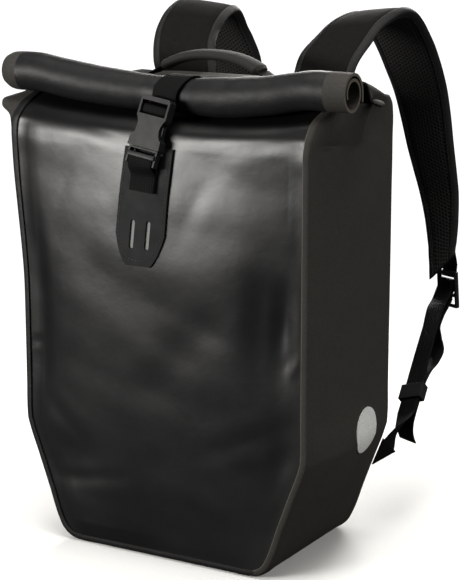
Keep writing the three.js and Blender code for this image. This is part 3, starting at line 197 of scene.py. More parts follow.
def outline_stations():
    """The right half of the front outline from the base up: x, z and the direction out of the bag."""
    half = BASE / 2
    slope = math.atan2(WIDTH / 2 - half, CHAMFER)
    flank = math.pi / 2 - slope
    base_end = half - BASE_ROUND * math.tan(flank / 2)
    found = [(base_end * share, 0, 0) for share in (0, 0.45, 0.8)]

    def arc(x, z, radius, start, end, steps):
        for k in range(steps + 1):
            turn = mix(start, end, k / steps)
            found.append((x + radius * math.sin(turn), z - radius * math.cos(turn), turn))

    arc(base_end, BASE_ROUND, BASE_ROUND, 0, flank, 4)
    tangent = CHAMFER_ROUND * math.tan(slope / 2)
    low = found[-1]
    high = (WIDTH / 2 - tangent * math.sin(slope), CHAMFER - tangent * math.cos(slope))
    for share in (0.33, 0.67):
        found.append((mix(low[0], high[0], share), mix(low[1], high[1], share), flank))
    arc(WIDTH / 2 - CHAMFER_ROUND, CHAMFER + tangent, CHAMFER_ROUND, flank, math.pi / 2, 2)
    for share in (0.12, 0.25, 0.38, 0.5, 0.62, 0.74, 0.86, 0.95, 1):
        found.append((WIDTH / 2, mix(CHAMFER + tangent, SHOULDER, share), math.pi / 2))
    return [(x, z, math.sin(turn), -math.cos(turn)) for x, z, turn in found]


OUTLINE = outline_stations()


def half_width(z, inset):
    """Half the width of the outline at a height, drawn in by an inset."""
    for (ax, az, anx, anz), (bx, bz, bnx, bnz) in zip(OUTLINE, OUTLINE[1:]):
        low, high = az - inset * anz, bz - inset * bnz
        if z <= high and high > low:
            return mix(ax - inset * anx, bx - inset * bnx, max(0, (z - low) / (high - low)))
    return WIDTH / 2 - inset


def closure_x(z):
    """The middle of the closure at a height."""
    return CLOSURE_X + (z - CLOSURE_FOOT) * CLOSURE_SLOPE


def sag_at(x):
    """How far the mouth and the roll hang down at a place along them."""
    side = -1 if x < SAG_AT else 1
    share = (x - SAG_AT) / (side * SAG_REACH - SAG_AT)
    return SAG * max(0, 1 - share * share)


def front_edge(lean):
    """The side edge of the front above the shoulder."""
    return np.array([
        mix(WIDTH / 2, EAR_REACH + 2, lean),
        FRONT + NECK_SETBACK * read(FRONT_LEAN, lean, 1),
        mix(SHOULDER, NECK, read(FRONT_LEAN, lean, 2)),
    ])


def back_edge(lean):
    """The side edge of the back above the shoulder, up to the ear and along the ridge."""
    ridge = np.array([ROLL_LENGTH / 2 + 3, ROLL_Y + ROLL_RADIUS - 0.1, ROLL_Z + 9])
    ear = mix(SHOULDER, EAR, read(BACK_LEAN, lean, 2))
    return np.array([
        mix(WIDTH / 2, ridge[0], read(BACK_LEAN, lean, 4)),
        mix(BACK, ridge[1], read(BACK_LEAN, lean, 1)),
        ear + (ridge[2] - EAR) * read(BACK_LEAN, lean, 3),
    ])


def fold_point(lean):
    """The outer fold of the side's gathered cloth above the shoulder."""
    return mix(np.array([WIDTH / 2 + SIDE_BULGE, 0, SHOULDER]), FOLD, ease(lean))


def seated(edge, lean, outwards):
    """A place on an edge, moved inwards by the seat of a lapped seam."""
    along = edge(min(1, lean + 0.02)) - edge(max(0, lean - 0.02))
    return edge(lean) - SEAT * outwards * unit(np.array([0, along[2], -along[1]]))


def front_y(x, z):
    """The outer face of the front panel below the shoulder."""
    share = min(1, abs(x) / half_width(z, LAP + 0.5))
    up = min(1, max(0, (z - LAP) / (SHOULDER - LAP)))
    crown = (1 - share ** 2.2) * read(FULLNESS, up)
    ratio = SHOULDER / (WIDTH / 2)
    dent = 0
    for across, height, depth, wide, tall, turn in DENTS:
        dx, dz = x / (WIDTH / 2) - across, (z / SHOULDER - height) * ratio
        c, s = math.cos(math.radians(turn)), math.sin(math.radians(turn))
        along, aside = (dx * c + dz * s) / wide, (dz * c - dx * s) / (tall * ratio)
        dent += depth * math.exp(-along ** 2 - aside ** 2)
    edge = min(1, (1 - share) * 8) * min(1, up * 20)
    return FRONT + SEAT - FRONT_BULGE * (crown - dent * edge)


def flared(grid):
    """The left side stands out a little under the roll, most of all at the front."""
    rise = ease((grid[..., 2] - FLARE_FOOT) / (SHOULDER - FLARE_FOOT))
    fall = 1 - ease((grid[..., 2] - SHOULDER - FLARE_HOLD) / FLARE_FALL)
    across = np.clip(-grid[..., 0] / (WIDTH / 2), 0, 1) ** 3
    depth = mix(1, 0.3, (grid[..., 1] - FRONT) / DEPTH)
    moved = grid.copy()
    moved[..., 0] -= FLARE * rise * fall * across * depth
    return moved


def front_grid():
    """Places of the front panel, from its foot up to the neck."""
    inset = CORNER + GAP
    shares = (-1, -0.955, -0.88, -0.75, -0.58, -0.4, -0.2, 0, 0.2, 0.4, 0.58, 0.75, 0.88, 0.955, 1)
    heights = (inset, LAP + 1, 14, 24, 42, 66, 90, CHAMFER, 140, 170, 198, 226, 254, 282, 310, 336, 362)
    grid = []
    for z in heights:
        half = half_width(z, inset)
        grid.append([(s * half, front_y(s * half, z), z) for s in shares])
    for lean in (0, *LEANS):
        edge = seated(front_edge, lean, -1)
        row = []
        for s in shares:
            x = s * (edge[0] - inset)
            bulge = front_y(s * (WIDTH / 2 - inset), SHOULDER) - FRONT - SEAT
            row.append((x, edge[1] + bulge * (1 - ease(lean * 1.35)), edge[2] - sag_at(x) * ease(lean * 1.1)))
        grid.append(row)
    return np.array(grid, float)


def back_grid():
    """Places of the back panel, from its foot up, over the ears and forward to the roll."""
    inset = CORNER + GAP
    shares = (1, 0.96, 0.85, 0.6, 0.3, 0, -0.3, -0.6, -0.85, -0.96, -1)
    grid = []
    for z in (inset, 14, 28, 60, CHAMFER, 170, 230, 290, 345):
        out = min(1, z / CHAMFER)
        half = half_width(z, inset)
        grid.append([(s * half, BACK - SEAT + BACK_BULGE * (1 - s * s) * out, z) for s in shares])
    for lean in (0, *LEANS):
        edge = seated(back_edge, lean, 1)
        turn = read(BACK_LEAN, lean)
        row = []
        for s in shares:
            x = s * (edge[0] - inset)
            share = min(1, abs(x) / (edge[0] - LAP - 1))
            y = edge[1] + BACK_BULGE * (1 - share * share) * (1 - ease(turn * 14))
            rise = (CROWN - EAR) * (1 - share ** 4) * ease(lean * 2.2) * (1 - turn) - sag_at(x) * ease(turn)
            row.append((x, y, edge[2] + rise))
        grid.append(row)
    return np.array(grid, float)


def gusset_low(station):
    """A section of the gusset below the shoulder, from the front lap to the back lap."""
    x, z, nx, nz = station
    diagonal = CORNER * (1 - math.sqrt(0.5))
    corner = ((-LAP, 0), (-CORNER, 0), (-diagonal, diagonal), (0, CORNER))
    puff = max(0, nx) ** 2 * (SIDE_BULGE * min(1, z / SHOULDER * 3)
                              + CHAMFER_PUFF * math.exp(-(((z - CHAMFER + 20) / 32) ** 2)))
    valley = ease((z - SHOULDER + 14) / 40)
    rows = [(n, FRONT + d) for n, d in corner]
    for across, full, dip, _ in SIDE:
        rows.append((puff * full - VALLEY * valley * dip, mix(FRONT + CORNER, BACK - CORNER, across)))
    rows += [(n, BACK - d) for n, d in reversed(corner)]
    return [(x + n * nx, y, z + n * nz) for n, y in rows]


def gusset_high(lean):
    """A section of the gusset above the shoulder, where the side folds into the roll."""
    front, fold, back = front_edge(lean), fold_point(lean), back_edge(lean)
    inwards, reach = np.array([-1, 0, 0]), CORNER * (1 - math.sqrt(0.5))

    def corner(edge):
        towards = unit(fold - edge)
        return [
            edge + inwards * LAP, edge + inwards * CORNER,
            edge + (inwards + towards) * reach, edge + towards * CORNER,
        ]

    first, last = corner(front), corner(back)[::-1]
    start, end = first[3], last[0]
    middle = fold * 2 - start * 0.5 - end * 0.5
    sides = []
    for q, _, dip, pocket in SIDE:
        round_way = start * (1 - q) ** 2 + middle * 2 * q * (1 - q) + end * q * q
        bent = mix(start, fold, q * 2) if q < 0.5 else mix(fold, end, q * 2 - 1)
        side = mix(round_way, bent, ease(lean * 1.2))
        valley = VALLEY * dip * mix(0.65, 0.55, lean)
        dig = POCKET * pocket * ease(lean * 2) * (1 - ease((lean - 0.7) * 4))
        sides.append(side + np.array([-valley * (1 - lean) - dig, 0, -valley * lean * 0.6]))
    return [*first, *sides, *last]


def gusset_grid():
    """Places of the gusset, from one end of the mouth round the base to the other."""
    right = np.array([*map(gusset_low, OUTLINE), *map(gusset_high, LEANS)], float)
    left = right[:0:-1] * (-1, 1, 1)
    rows = np.exp(-((np.arange(len(left)) - EAR_ROW) / 2.6) ** 2)[:, None]
    columns = np.array(EAR_COLUMNS)[None]
    left += rows[..., None] * columns[..., None] * np.array(EAR_PUSH)
    return np.concatenate([left, right])


def roll_grid():
    """Places of the rolled mouth, wound forward, down and round."""
    places = GIRTH[::-1, 0] * ROLL_LENGTH / 2
    rows = []
    steps = round(ROLL_TURNS * 16)
    for turn in [None, *(ROLL_TURNS * k / steps for k in range(steps + 1))]:
        row = []
        for x in places:
            girth = read(GIRTH, x * 2 / ROLL_LENGTH)
            y, z = ROLL_Y + ROLL_RADIUS * (1 - girth), ROLL_Z - sag_at(x)
            angle = 2 * math.pi * (turn or 0)
            radius = ROLL_RADIUS * girth - ROLL_PITCH * (turn or 0)
            drop = TONGUE if turn is None else 0
            row.append((x, y + radius * math.cos(angle), z + radius * math.sin(angle) - drop))
        rows.append(row)
    return np.array(rows, float)


def finer(grid, down, across):
    """Points between those of a grid, on smooth curves through them."""
    for axis, steps in ((0, down), (1, across)):
        rows = np.moveaxis(grid, axis, 0)
        if steps < 2:
            continue
        step = np.linalg.norm(np.diff(rows, axis=0), axis=-1, keepdims=True) + 1e-9
        slope = np.diff(rows, axis=0) / step
        inner = (slope[:-1] * step[1:] + slope[1:] * step[:-1]) / (step[1:] + step[:-1])
        slopes = np.concatenate([slope[:1], inner, slope[-1:]])
        at = np.linspace(0, len(rows) - 1, (len(rows) - 1) * steps + 1)
        i = np.minimum(at.astype(int), len(rows) - 2)
        t = (at - i).reshape((-1,) + (1,) * (rows.ndim - 1))
        rows = (
            (2 * t ** 3 - 3 * t ** 2 + 1) * rows[i] + (t ** 3 - 2 * t ** 2 + t) * step[i] * slopes[i]
            + (3 * t ** 2 - 2 * t ** 3) * rows[i + 1] + (t ** 3 - t ** 2) * step[i] * slopes[i + 1]
        )
        grid = np.moveaxis(rows, 0, axis)
    return grid


def grid_normals(grid):
    """The direction out of a grid at each of its points."""
    return unit(np.cross(np.gradient(grid, axis=1), np.gradient(grid, axis=0)))


def soft_noise(places, size, seed):
    """Smooth waves with no pattern that the eye finds, between about -1 and 1."""
    rng = np.random.default_rng(seed)
    total = np.zeros(places.shape[:-1])
    for _ in range(9):
        way = rng.normal(size=3)
        way *= 2 * math.pi / size / np.linalg.norm(way) * rng.uniform(0.6, 1.5)
        total += np.sin(places @ way + rng.uniform(0, 6.3))
    return total / 4


def new_object(name, mesh):
    """An object at the origin that holds a mesh."""
    made = bpy.data.objects.new(name, mesh)
    bpy.context.scene.collection.objects.link(made)
    return made


def build_mesh(name, points, faces, weave, materials, kinds, sharp):
    """A closed mesh of quads in metres from millimetre points, with a weave map in metres."""
    a, b, c, d = (points[faces[:, k]] for k in range(4))
    if (a * (np.cross(b, c) + np.cross(c, d))).sum() < 0:
        faces = faces[:, ::-1]
    mesh = bpy.data.meshes.new(name)
    mesh.from_pydata((points * MM).tolist(), [], faces.tolist())
    corners = np.zeros(len(mesh.loops), np.int32)
    mesh.loops.foreach_get("vertex_index", corners)
    mesh.uv_layers.new(name="weave").data.foreach_set("uv", (weave[corners] * MM).ravel())
    for material in materials:
        mesh.materials.append(material)
    mesh.polygons.foreach_set("material_index", np.asarray(kinds, np.int32))
    mesh.shade_smooth()
    mesh.set_sharp_from_angle(angle=math.radians(sharp))
    mesh.update()
    return new_object(name, mesh)


def shell(name, grid, wall, materials, kinds=0, rim=-1):
    """A cloth wall under a grid of outer points, closed round its rim; kinds number the faces' materials."""
    rows, columns = grid.shape[:2]
    inner = grid - wall * grid_normals(grid)
    number = np.arange(rows * columns).reshape(rows, columns)
    size = rows * columns
    a, b, c, d = number[:-1, :-1], number[:-1, 1:], number[1:, 1:], number[1:, :-1]
    outer_faces = np.stack([a, b, c, d], -1).reshape(-1, 4)
    edge = np.concatenate([number[0, :-1], number[:-1, -1], number[-1, :0:-1], number[:0:-1, 0]])
    after = np.roll(edge, -1)
    rim_faces = np.stack([after, edge, edge + size, after + size], -1)
    across = np.linalg.norm(np.diff(grid, axis=1, prepend=grid[:, :1]), axis=-1).cumsum(1)
    up = np.linalg.norm(np.diff(grid, axis=0, prepend=grid[:1]), axis=-1).cumsum(0)
    weave = np.stack([across, up], -1).reshape(-1, 2)
    kinds = np.broadcast_to(kinds, (rows - 1, columns - 1)).ravel()
    rim_kinds = np.full(len(rim_faces), range(len(materials))[rim])
    return build_mesh(
        name,
        np.concatenate([grid.reshape(-1, 3), inner.reshape(-1, 3)]),
        np.concatenate([outer_faces, outer_faces[:, ::-1] + size, rim_faces]),
        np.concatenate([weave, weave]),
        materials,
        np.concatenate([kinds, kinds, rim_kinds]),
        SHARP_CLOTH,
    )


def rings_of(node, start):
    """The section rings of a lofted node, from the end that lies nearer to start, in millimetres."""
    work = bmesh.new()
    work.from_mesh(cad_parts[node].data)
    bmesh.ops.remove_doubles(work, verts=work.verts, dist=1e-6)
    work.verts.ensure_lookup_table()
    near = [{e.other_vert(v).index for e in v.link_edges} for v in work.verts]
    places = np.array([v.co[:] for v in work.verts]) / MM
    work.free()
    ends = {i for i, found in enumerate(near) if len(found) != NEIGHBOURS}
    ring = {min(ends, key=lambda i: np.linalg.norm(places[i] - start))}
    while True:
        wider = ring | {n for i in ring for n in near[i] & ends}
        if wider == ring:
            break
        ring = wider
    seen, rings = set(), []
    while ring:
        rings.append(places[sorted(ring)])
        seen |= ring
        ring = set().union(*(near[i] for i in ring)) - seen
    return rings


def stations_of(node, start, lead=(1, 0, 0), steps=6):
    """Centre, across, normal and half sizes along a lofted node, filled in smoothly."""
    rows = []
    lead = np.array(lead, float)
    for ring in rings_of(node, start):
        centre = ring.mean(0)
        axes = np.linalg.svd(ring - centre)[2]
        across = axes[0] * (1 if axes[0] @ lead > 0 else -1)
        lead = across
        spread = np.abs((ring - centre) @ across).max()
        rows.append([centre, across, axes[1], [spread, np.abs((ring - centre) @ axes[1]).max(), 0]])
    rows = np.array(rows)
    tangent = np.gradient(rows[:, 0], axis=0)
    side = np.cross(rows[:, 1], tangent)
    flip = np.sign((rows[:, 2] * side).sum(-1, keepdims=True))
    rows[:, 2] *= np.where(flip == 0, 1, flip)
    fine = finer(rows[:, :1], steps, 1)[:, 0]
    spots = np.linspace(0, len(rows) - 1, len(fine))
    parts = [fine]
    for column in (1, 2, 3):
        parts.append(np.stack([np.interp(spots, range(len(rows)), rows[:, column, k]) for k in range(3)], -1))
    centre, across, normal, sizes = parts
    across = unit(across)
    normal = unit(normal - across * (normal * across).sum(-1, keepdims=True))
    along = np.linalg.norm(np.diff(centre, axis=0, prepend=centre[:1]), axis=-1).cumsum()
    return {
        "centre": centre, "across": across, "normal": normal,
        "half": sizes[:, 0], "thick": sizes[:, 1], "along": along,
    }


def tube(name, stations, section, materials, kinds=0):
    """A band through stations; section gives its (u, v) corners, kinds the materials between them."""
    rings, weave = [], []
    for i in range(len(stations["centre"])):
        corners = np.array(section(stations, i))
        centre, across, normal = (stations[key][i] for key in ("centre", "across", "normal"))
        rings.append(centre + corners[:, :1] * across + corners[:, 1:2] * normal)
        along = np.full(len(corners), stations["along"][i])
        weave.append(np.stack([corners[:, 0] + np.sign(corners[:, 1]) * 0.01, along], -1))
    count = len(rings[0])
    number = np.arange(len(rings) * count).reshape(len(rings), count)
    after = np.roll(number, -1, 1)
    faces = np.stack([number[:-1], after[:-1], after[1:], number[1:]], -1).reshape(-1, 4)
    kinds = np.broadcast_to(kinds, (len(rings) - 1, count)).ravel()
    caps = []
    half = count // 2
    for ring, turned in ((number[0], True), (number[-1], False)):
        for k in range(half - 1):
            quad = [ring[k], ring[k + 1], ring[count - 2 - k], ring[count - 1 - k]]
            caps.append(quad[::-1] if turned else quad)
    faces = np.concatenate([faces, np.array(caps)])
    kinds = np.concatenate([kinds, np.zeros(len(caps), int)])
    return build_mesh(name, np.concatenate(rings), faces, np.concatenate(weave), materials, kinds, SHARP_BAND)


def webbing_section(stations, i):
    """A woven band's section: flat faces and rounded selvedges."""
    w, t = stations["half"][i], stations["thick"][i]
    r = min(0.6, t * 0.8)
    left = [(-w, 0), (-w + 0.2 * r, 0.6 * t), (-w + r, 0.95 * t), (-w * 0.5, t)]
    top = left + [(0, t)] + [(-u, v) for u, v in reversed(left)]
    return top + [(u, -v) for u, v in top[-2:0:-1]]


class Finish:
    """A procedural material, built node by node."""

    def __init__(self, name, colour, roughness, specular=0.5):
        self.material = bpy.data.materials.new(name)
        self.material.use_nodes = True
        self.material.diffuse_color = (*colour[:3], 1)
        self.tree = self.material.node_tree
        self.shader = self.tree.nodes["Principled BSDF"]
        settings = {"Base Color": (*colour[:3], 1), "Roughness": roughness, "Specular IOR Level": specular}
        for key, value in settings.items():
            self.put(self.shader.inputs[key], value)

    def add(self, kind, inputs=(), **settings):
        """A node with its settings, and its inputs linked or set by name or number."""
        node = self.tree.nodes.new(kind)
        for key, value in settings.items():
            setattr(node, key, value)
        for key, value in dict(inputs).items():
            self.put(node.inputs[key], value)
        return node

    def put(self, socket, value):
        """Links a socket, or sets its value."""
        if isinstance(value, bpy.types.NodeSocket):
            self.tree.links.new(value, socket)
        else:
            socket.default_value = value

    def math(self, operation, *values):
        """One arithmetic node."""
        return self.add("ShaderNodeMath", dict(enumerate(values)), operation=operation).outputs[0]

    def coordinates(self, per_metre):
        """The piece's own coordinates, scaled so that one unit is 1 / per_metre metres."""
        start = self.add("ShaderNodeTexCoord").outputs["Object"]
        return self.add("ShaderNodeMapping", {"Vector": start, "Scale": (per_metre,) * 3}).outputs["Vector"]

    def weave(self, per_metre):
        """Places across and along a band or a cloth, as angles that turn once for each thread."""
        start = self.add("ShaderNodeUVMap", uv_map="weave").outputs["UV"]
        inputs = {"Vector": start, "Scale": (per_metre * 2 * math.pi,) * 3}
        vector = self.add("ShaderNodeMapping", inputs).outputs["Vector"]
        return self.add("ShaderNodeSeparateXYZ", {"Vector": vector}).outputs[:2]

    def noise(self, per_metre, detail=3, roughness=0.55):
        """Fractal noise from 0 to 1."""
        inputs = {"Vector": self.coordinates(per_metre), "Scale": 1, "Detail": detail, "Roughness": roughness}
        return self.add("ShaderNodeTexNoise", inputs).outputs["Fac"]

    def between(self, value, low, high, start=0, end=1):
        """A value mapped from one range to another."""
        inputs = {"Value": value, "From Min": start, "From Max": end, "To Min": low, "To Max": high}
        return self.add("ShaderNodeMapRange", inputs).outputs["Result"]

    def bump(self, height, distance):
        """Relief of a height in metres, laid over what is there."""
        node = self.add("ShaderNodeBump", {"Height": height, "Distance": distance, "Strength": 1})
        socket = self.shader.inputs["Normal"]
        if socket.links:
            self.put(node.inputs["Normal"], socket.links[0].from_socket)
        self.put(socket, node.outputs["Normal"])

    def drift(self, per_metre, low, high, detail=3):
        """Roughness that wanders between two values."""
        share = self.noise(per_metre, detail)
        self.put(self.shader.inputs["Roughness"], self.between(share, low, high, 0.3, 0.7))

    def tint(self, factor, first, second):
        """The base colour, between two colours."""
        node = self.add("ShaderNodeMix", {0: factor, 6: (*first, 1), 7: (*second, 1)}, data_type="RGBA")
        self.put(self.shader.inputs["Base Color"], node.outputs[2])

    def shades(self, factor, colour, dark, light):
        """The base colour, between two shares of one colour."""
        self.tint(factor, shaded(colour, dark), shaded(colour, light))

    def threads(self, per_metre):
        """Plain weave: a height from 0 to 1 that crosses over and under."""
        waves = [self.math("SINE", angle) for angle in self.weave(per_metre)]
        return self.between(self.math("MULTIPLY", *waves), 0, 1, -1, 1)

    def honeycomb(self, per_metre):
        """Rounded cells in offset rows: a height from 0 in a cell's middle to 1 on its walls."""
        across, along = self.weave(per_metre)
        half = self.math("MULTIPLY", across, 0.5)
        tall = self.math("MULTIPLY", along, math.sqrt(3) / 2)
        angles = (across, self.math("ADD", half, tall), self.math("SUBTRACT", half, tall))
        waves = [self.math("COSINE", angle) for angle in angles]
        total = self.math("ADD", self.math("ADD", waves[0], waves[1]), waves[2])
        return self.between(total, 1, 0, -0.6, 1.6)


def shaded(colour, share):
    """A colour made darker or lighter by a share."""
    return tuple(channel * share for channel in colour[:3])


def coated_cloth(scene):
    """The smooth cloth of the front."""
    colour, roughness = scene.bag_cloth.coated_colour, scene.bag_cloth.coated_roughness
    made = Finish("coated_cloth", colour, roughness, 0.45)
    made.drift(11, roughness - 0.03, roughness + 0.05, 4)
    made.shades(made.between(made.noise(34, 5), 0, 1, 0.35, 0.7), colour, 0.85, 1.25)
    made.bump(made.noise(38), 0.0003)
    made.bump(made.noise(1400, 2), 0.00005)
    return made


def rolled_cloth(scene):
    """The same cloth where it is rolled and handled, grainy and less bright."""
    colour = scene.bag_cloth.coated_colour
    made = Finish("rolled_cloth", shaded(colour, 1.4), 0.5, 0.26)
    grit = made.noise(900, 3, 0.7)
    made.shades(made.between(grit, 0, 1, 0.35, 0.68), colour, 1.2, 4.4)
    made.drift(20, 0.48, 0.64)
    made.bump(made.noise(70, 4), 0.0007)
    made.bump(grit, 0.00009)
    return made


def laminated_cloth(scene):
    """The matte cloth of the sides and the back."""
    colour = scene.bag_cloth.matte_colour
    made = Finish("laminated_cloth", colour, 0.8, 0.25)
    made.shades(made.between(made.noise(700, 3, 0.7), 0, 1, 0.3, 0.7), colour, 0.72, 1.35)
    made.drift(14, 0.7, 0.88)
    made.bump(made.noise(40, 4), 0.0008)
    made.bump(made.threads(900), 0.00004)
    return made


def slot_highlight_finish(scene):
    """Painted reflection: a pale sheet behind the slots of the patch, where the front cloth reflects the
    light.
    """
    made = Finish("slot_liner", (0.16, 0.16, 0.155), 0.5, 0.3)
    made.tint(made.noise(600), (0.1, 0.1, 0.097), (0.19, 0.19, 0.184))
    made.bump(made.noise(900), 0.00005)
    return made


def cut_edge(scene):
    """The raw edge of a cut cloth."""
    made = Finish("cut_edge", (0.05, 0.043, 0.034), 0.7)
    made.tint(made.noise(500), (0.03, 0.026, 0.021), (0.1, 0.085, 0.064))
    made.bump(made.noise(900), 0.0001)
    return made


def ribbed_webbing(scene):
    """Woven webbing with slanted ribs in rows."""
    colour = scene.bag_trim.webbing_colour
    made = Finish("ribbed_webbing", colour, 0.74, 0.08)
    across, along = made.weave(1)
    wave = made.math("MULTIPLY", made.math("SINE", made.math("MULTIPLY", across, 200)), 1.6)
    slant = made.math("ADD", made.math("MULTIPLY", along, 420), wave)
    ribs = made.between(made.math("SINE", slant), 0, 1, -1, 1)
    rows = made.between(made.math("COSINE", made.math("MULTIPLY", across, 400)), 0, 1, -1, 1)
    height = made.math("ADD", made.math("MULTIPLY", ribs, 0.5), made.math("MULTIPLY", rows, 0.5))
    # Painted shade and light: darker in the grooves, lighter on the raised ribs
    made.shades(height, colour, 0.45, 1.7)
    made.bump(height, 0.0003)
    return made


def moulded_plastic(scene):
    """The satin plastic of the buckle and the locks."""
    colour = scene.bag_trim.plastic_colour
    made = Finish("moulded_plastic", colour, 0.44, 0.2)
    made.drift(120, 0.4, 0.5)
    made.shades(made.noise(60), colour, 0.9, 1.2)
    made.bump(made.noise(1600, 2), 0.00004)
    return made


def rubber(scene):
    """The rubber of the patch."""
    colour = scene.bag_trim.patch_colour
    made = Finish("rubber_patch", colour, 0.72, 0.22)
    fine = made.noise(1100)
    made.shades(fine, colour, 0.8, 1.3)
    made.drift(50, 0.68, 0.8)
    made.bump(fine, 0.00006)
    return made


def strap_cloth(scene):
    """The outer cloth of the shoulder straps."""
    colour = scene.bag_cloth.strap_colour
    made = Finish("strap_cloth", colour, 0.86, 0.08)
    made.shades(made.between(made.noise(300, 4), 0, 1, 0.3, 0.7), colour, 0.8, 1.25)
    made.bump(made.noise(45), 0.0006)
    made.bump(made.threads(650), 0.00008)
    return made


def binding_tape(scene):
    """The tape round the edges of the straps, and the keepers."""
    made = Finish("binding_tape", (0.005, 0.005, 0.005), 0.68, 0.25)
    tape = made.threads(800)
    # Painted shade and light: darker where the weave dips, lighter on the raised threads
    made.tint(tape, (0.0035, 0.0035, 0.0035), (0.009, 0.009, 0.009))
    made.bump(tape, 0.00012)
    return made


def spacer_mesh(scene):
    """The open mesh on the inner face of the straps."""
    made = Finish("spacer_mesh", (0.008, 0.008, 0.008), 0.85, 0.2)
    cells = made.honeycomb(1000 / scene.bag_straps.cell_pitch)
    # Painted shade and light: darker in the recessed cell middles, lighter on the raised walls
    made.tint(cells, (0.003, 0.003, 0.003), shaded(scene.bag_cloth.strap_colour, 3.2))
    made.bump(cells, 0.0012)
    made.bump(made.noise(1500), 0.0001)
    return made


def grip_cloth(scene):
    """The cloth of the padded grip."""
    colour = scene.bag_trim.grip_colour
    made = Finish("grip_cloth", colour, 0.75, 0.15)
    mesh = made.threads(420)
    # Painted shade and light: darker where the weave dips, lighter on the raised threads
    made.shades(mesh, colour, 0.6, 1.3)
    made.bump(mesh, 0.00015)
    made.bump(made.noise(80), 0.0004)
    return made


def reflective_film(scene):
    """The beaded film of the badge."""
    made = Finish("reflective_film", (0.56, 0.57, 0.57), 0.42)
    inputs = {"Vector": made.coordinates(1500), "Scale": 1}
    beads = made.add("ShaderNodeTexVoronoi", inputs).outputs["Distance"]
    made.tint(made.between(beads, 0, 1, 0.15, 0.75), (0.9, 0.91, 0.9), (0.5, 0.51, 0.5))
    made.bump(beads, 0.00006)
    return made


def sewing_thread(scene):
    """The thread of the stitches."""
    made = Finish("sewing_thread", (0.012, 0.012, 0.012), 0.6)
    ply = made.noise(2500, 1)
    made.tint(ply, (0.008, 0.008, 0.008), (0.024, 0.024, 0.024))
    made.bump(ply, 0.00008)
    return made


FINISH_MAKERS = {
    "coated": coated_cloth, "rolled": rolled_cloth, "matte": laminated_cloth, "slot_highlight": slot_highlight_finish,
    "edge": cut_edge, "webbing": ribbed_webbing, "plastic": moulded_plastic, "patch": rubber,
    "strap": strap_cloth, "binding": binding_tape, "spacer": spacer_mesh, "grip": grip_cloth,
    "film": reflective_film, "thread": sewing_thread,
}
FINISHES = {}


def finish_named(key):
    """A material of the backpack, made when it is first asked for."""
    if key not in FINISHES:
        FINISHES[key] = FINISH_MAKERS[key](bpy.context.scene).material
    return FINISHES[key]


def finishes(*keys):
    """Several materials of the backpack."""
    return [finish_named(key) for key in keys]


def settle(piece, slot, *nodes):
    """A finished piece rides on the bag and stands for its solids."""
    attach(piece, "root")
    if nodes:
        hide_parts(*nodes)
    return piece


def applied(piece):
    """The piece with its modifiers made part of a plain mesh."""
    view = bpy.context.evaluated_depsgraph_get()
    mesh = bpy.data.meshes.new_from_object(piece.evaluated_get(view), depsgraph=view)
    piece.modifiers.clear()
    piece.data = mesh
    return piece


def rounded(name, node, finish, slot, width, segments=3, angle=32):
    """A copy of a rigid node with its edges rounded as a mould or a hem leaves them, which stands for it."""
    work = bmesh.new()
    work.from_mesh(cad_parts[node].data)
    bmesh.ops.remove_doubles(work, verts=work.verts, dist=2e-6)
    bmesh.ops.dissolve_limit(work, angle_limit=math.radians(1.2), verts=work.verts, edges=work.edges)
    mesh = bpy.data.meshes.new(name)
    work.to_mesh(mesh)
    work.free()
    mesh.materials.clear()
    mesh.materials.append(finish_named(finish))
    mesh.polygons.foreach_set("material_index", np.zeros(len(mesh.polygons), np.int32))
    mesh.shade_smooth()
    piece = new_object(name, mesh)
    bevel = piece.modifiers.new("edges", "BEVEL")
    bevel.width, bevel.segments, bevel.angle_limit = width * MM, segments, math.radians(angle)
    bevel.limit_method, bevel.use_clamp_overlap = "ANGLE", True
    piece.modifiers.new("flat faces", "WEIGHTED_NORMAL").weight = 100
    return settle(applied(piece), slot, node)


def stitch_tree():
    """A node tree that lays stitches along every path of a mesh of edges."""
    tree = bpy.data.node_groups.new("stitches", "GeometryNodeTree")
    tree.interface.new_socket("Geometry", in_out="INPUT", socket_type="NodeSocketGeometry")
    tree.interface.new_socket("Geometry", in_out="OUTPUT", socket_type="NodeSocketGeometry")
    for name in ("Pitch", "Length", "Thread"):
        tree.interface.new_socket(name, in_out="INPUT", socket_type="NodeSocketFloat")
    tree.interface.new_socket("Material", in_out="INPUT", socket_type="NodeSocketMaterial")
    kinds = (
        "NodeGroupInput", "NodeGroupOutput", "GeometryNodeMeshToCurve", "GeometryNodeResampleCurve",
        "GeometryNodeMeshUVSphere", "ShaderNodeCombineXYZ", "GeometryNodeInputTangent",
        "FunctionNodeAlignRotationToVector", "GeometryNodeInstanceOnPoints", "GeometryNodeSetShadeSmooth",
        "GeometryNodeRealizeInstances", "GeometryNodeSetMaterial",
    )
    made = [tree.nodes.new(kind) for kind in kinds]
    start, end, curve, spread, grain, size, tangent, turn, lay, smooth, real, paint = made
    spread.mode = "LENGTH"
    turn.axis = "Z"
    for name, value in (("Segments", 6), ("Rings", 4), ("Radius", 0.5)):
        grain.inputs[name].default_value = value
    links = (
        (start, "Geometry", curve, "Mesh"), (curve, "Curve", spread, "Curve"),
        (start, "Pitch", spread, "Length"), (start, "Thread", size, "X"), (start, "Thread", size, "Y"),
        (start, "Length", size, "Z"), (tangent, "Tangent", turn, "Vector"), (spread, "Curve", lay, "Points"),
        (grain, "Mesh", lay, "Instance"), (turn, "Rotation", lay, "Rotation"), (size, "Vector", lay, "Scale"),
        (lay, "Instances", smooth, "Geometry"), (smooth, "Geometry", real, "Geometry"),
        (real, "Geometry", paint, "Geometry"), (start, "Material", paint, "Material"),
        (paint, "Geometry", end, "Geometry"),
    )
    for giver, output, taker, name in links:
        tree.links.new(giver.outputs[output], taker.inputs[name])
    return tree


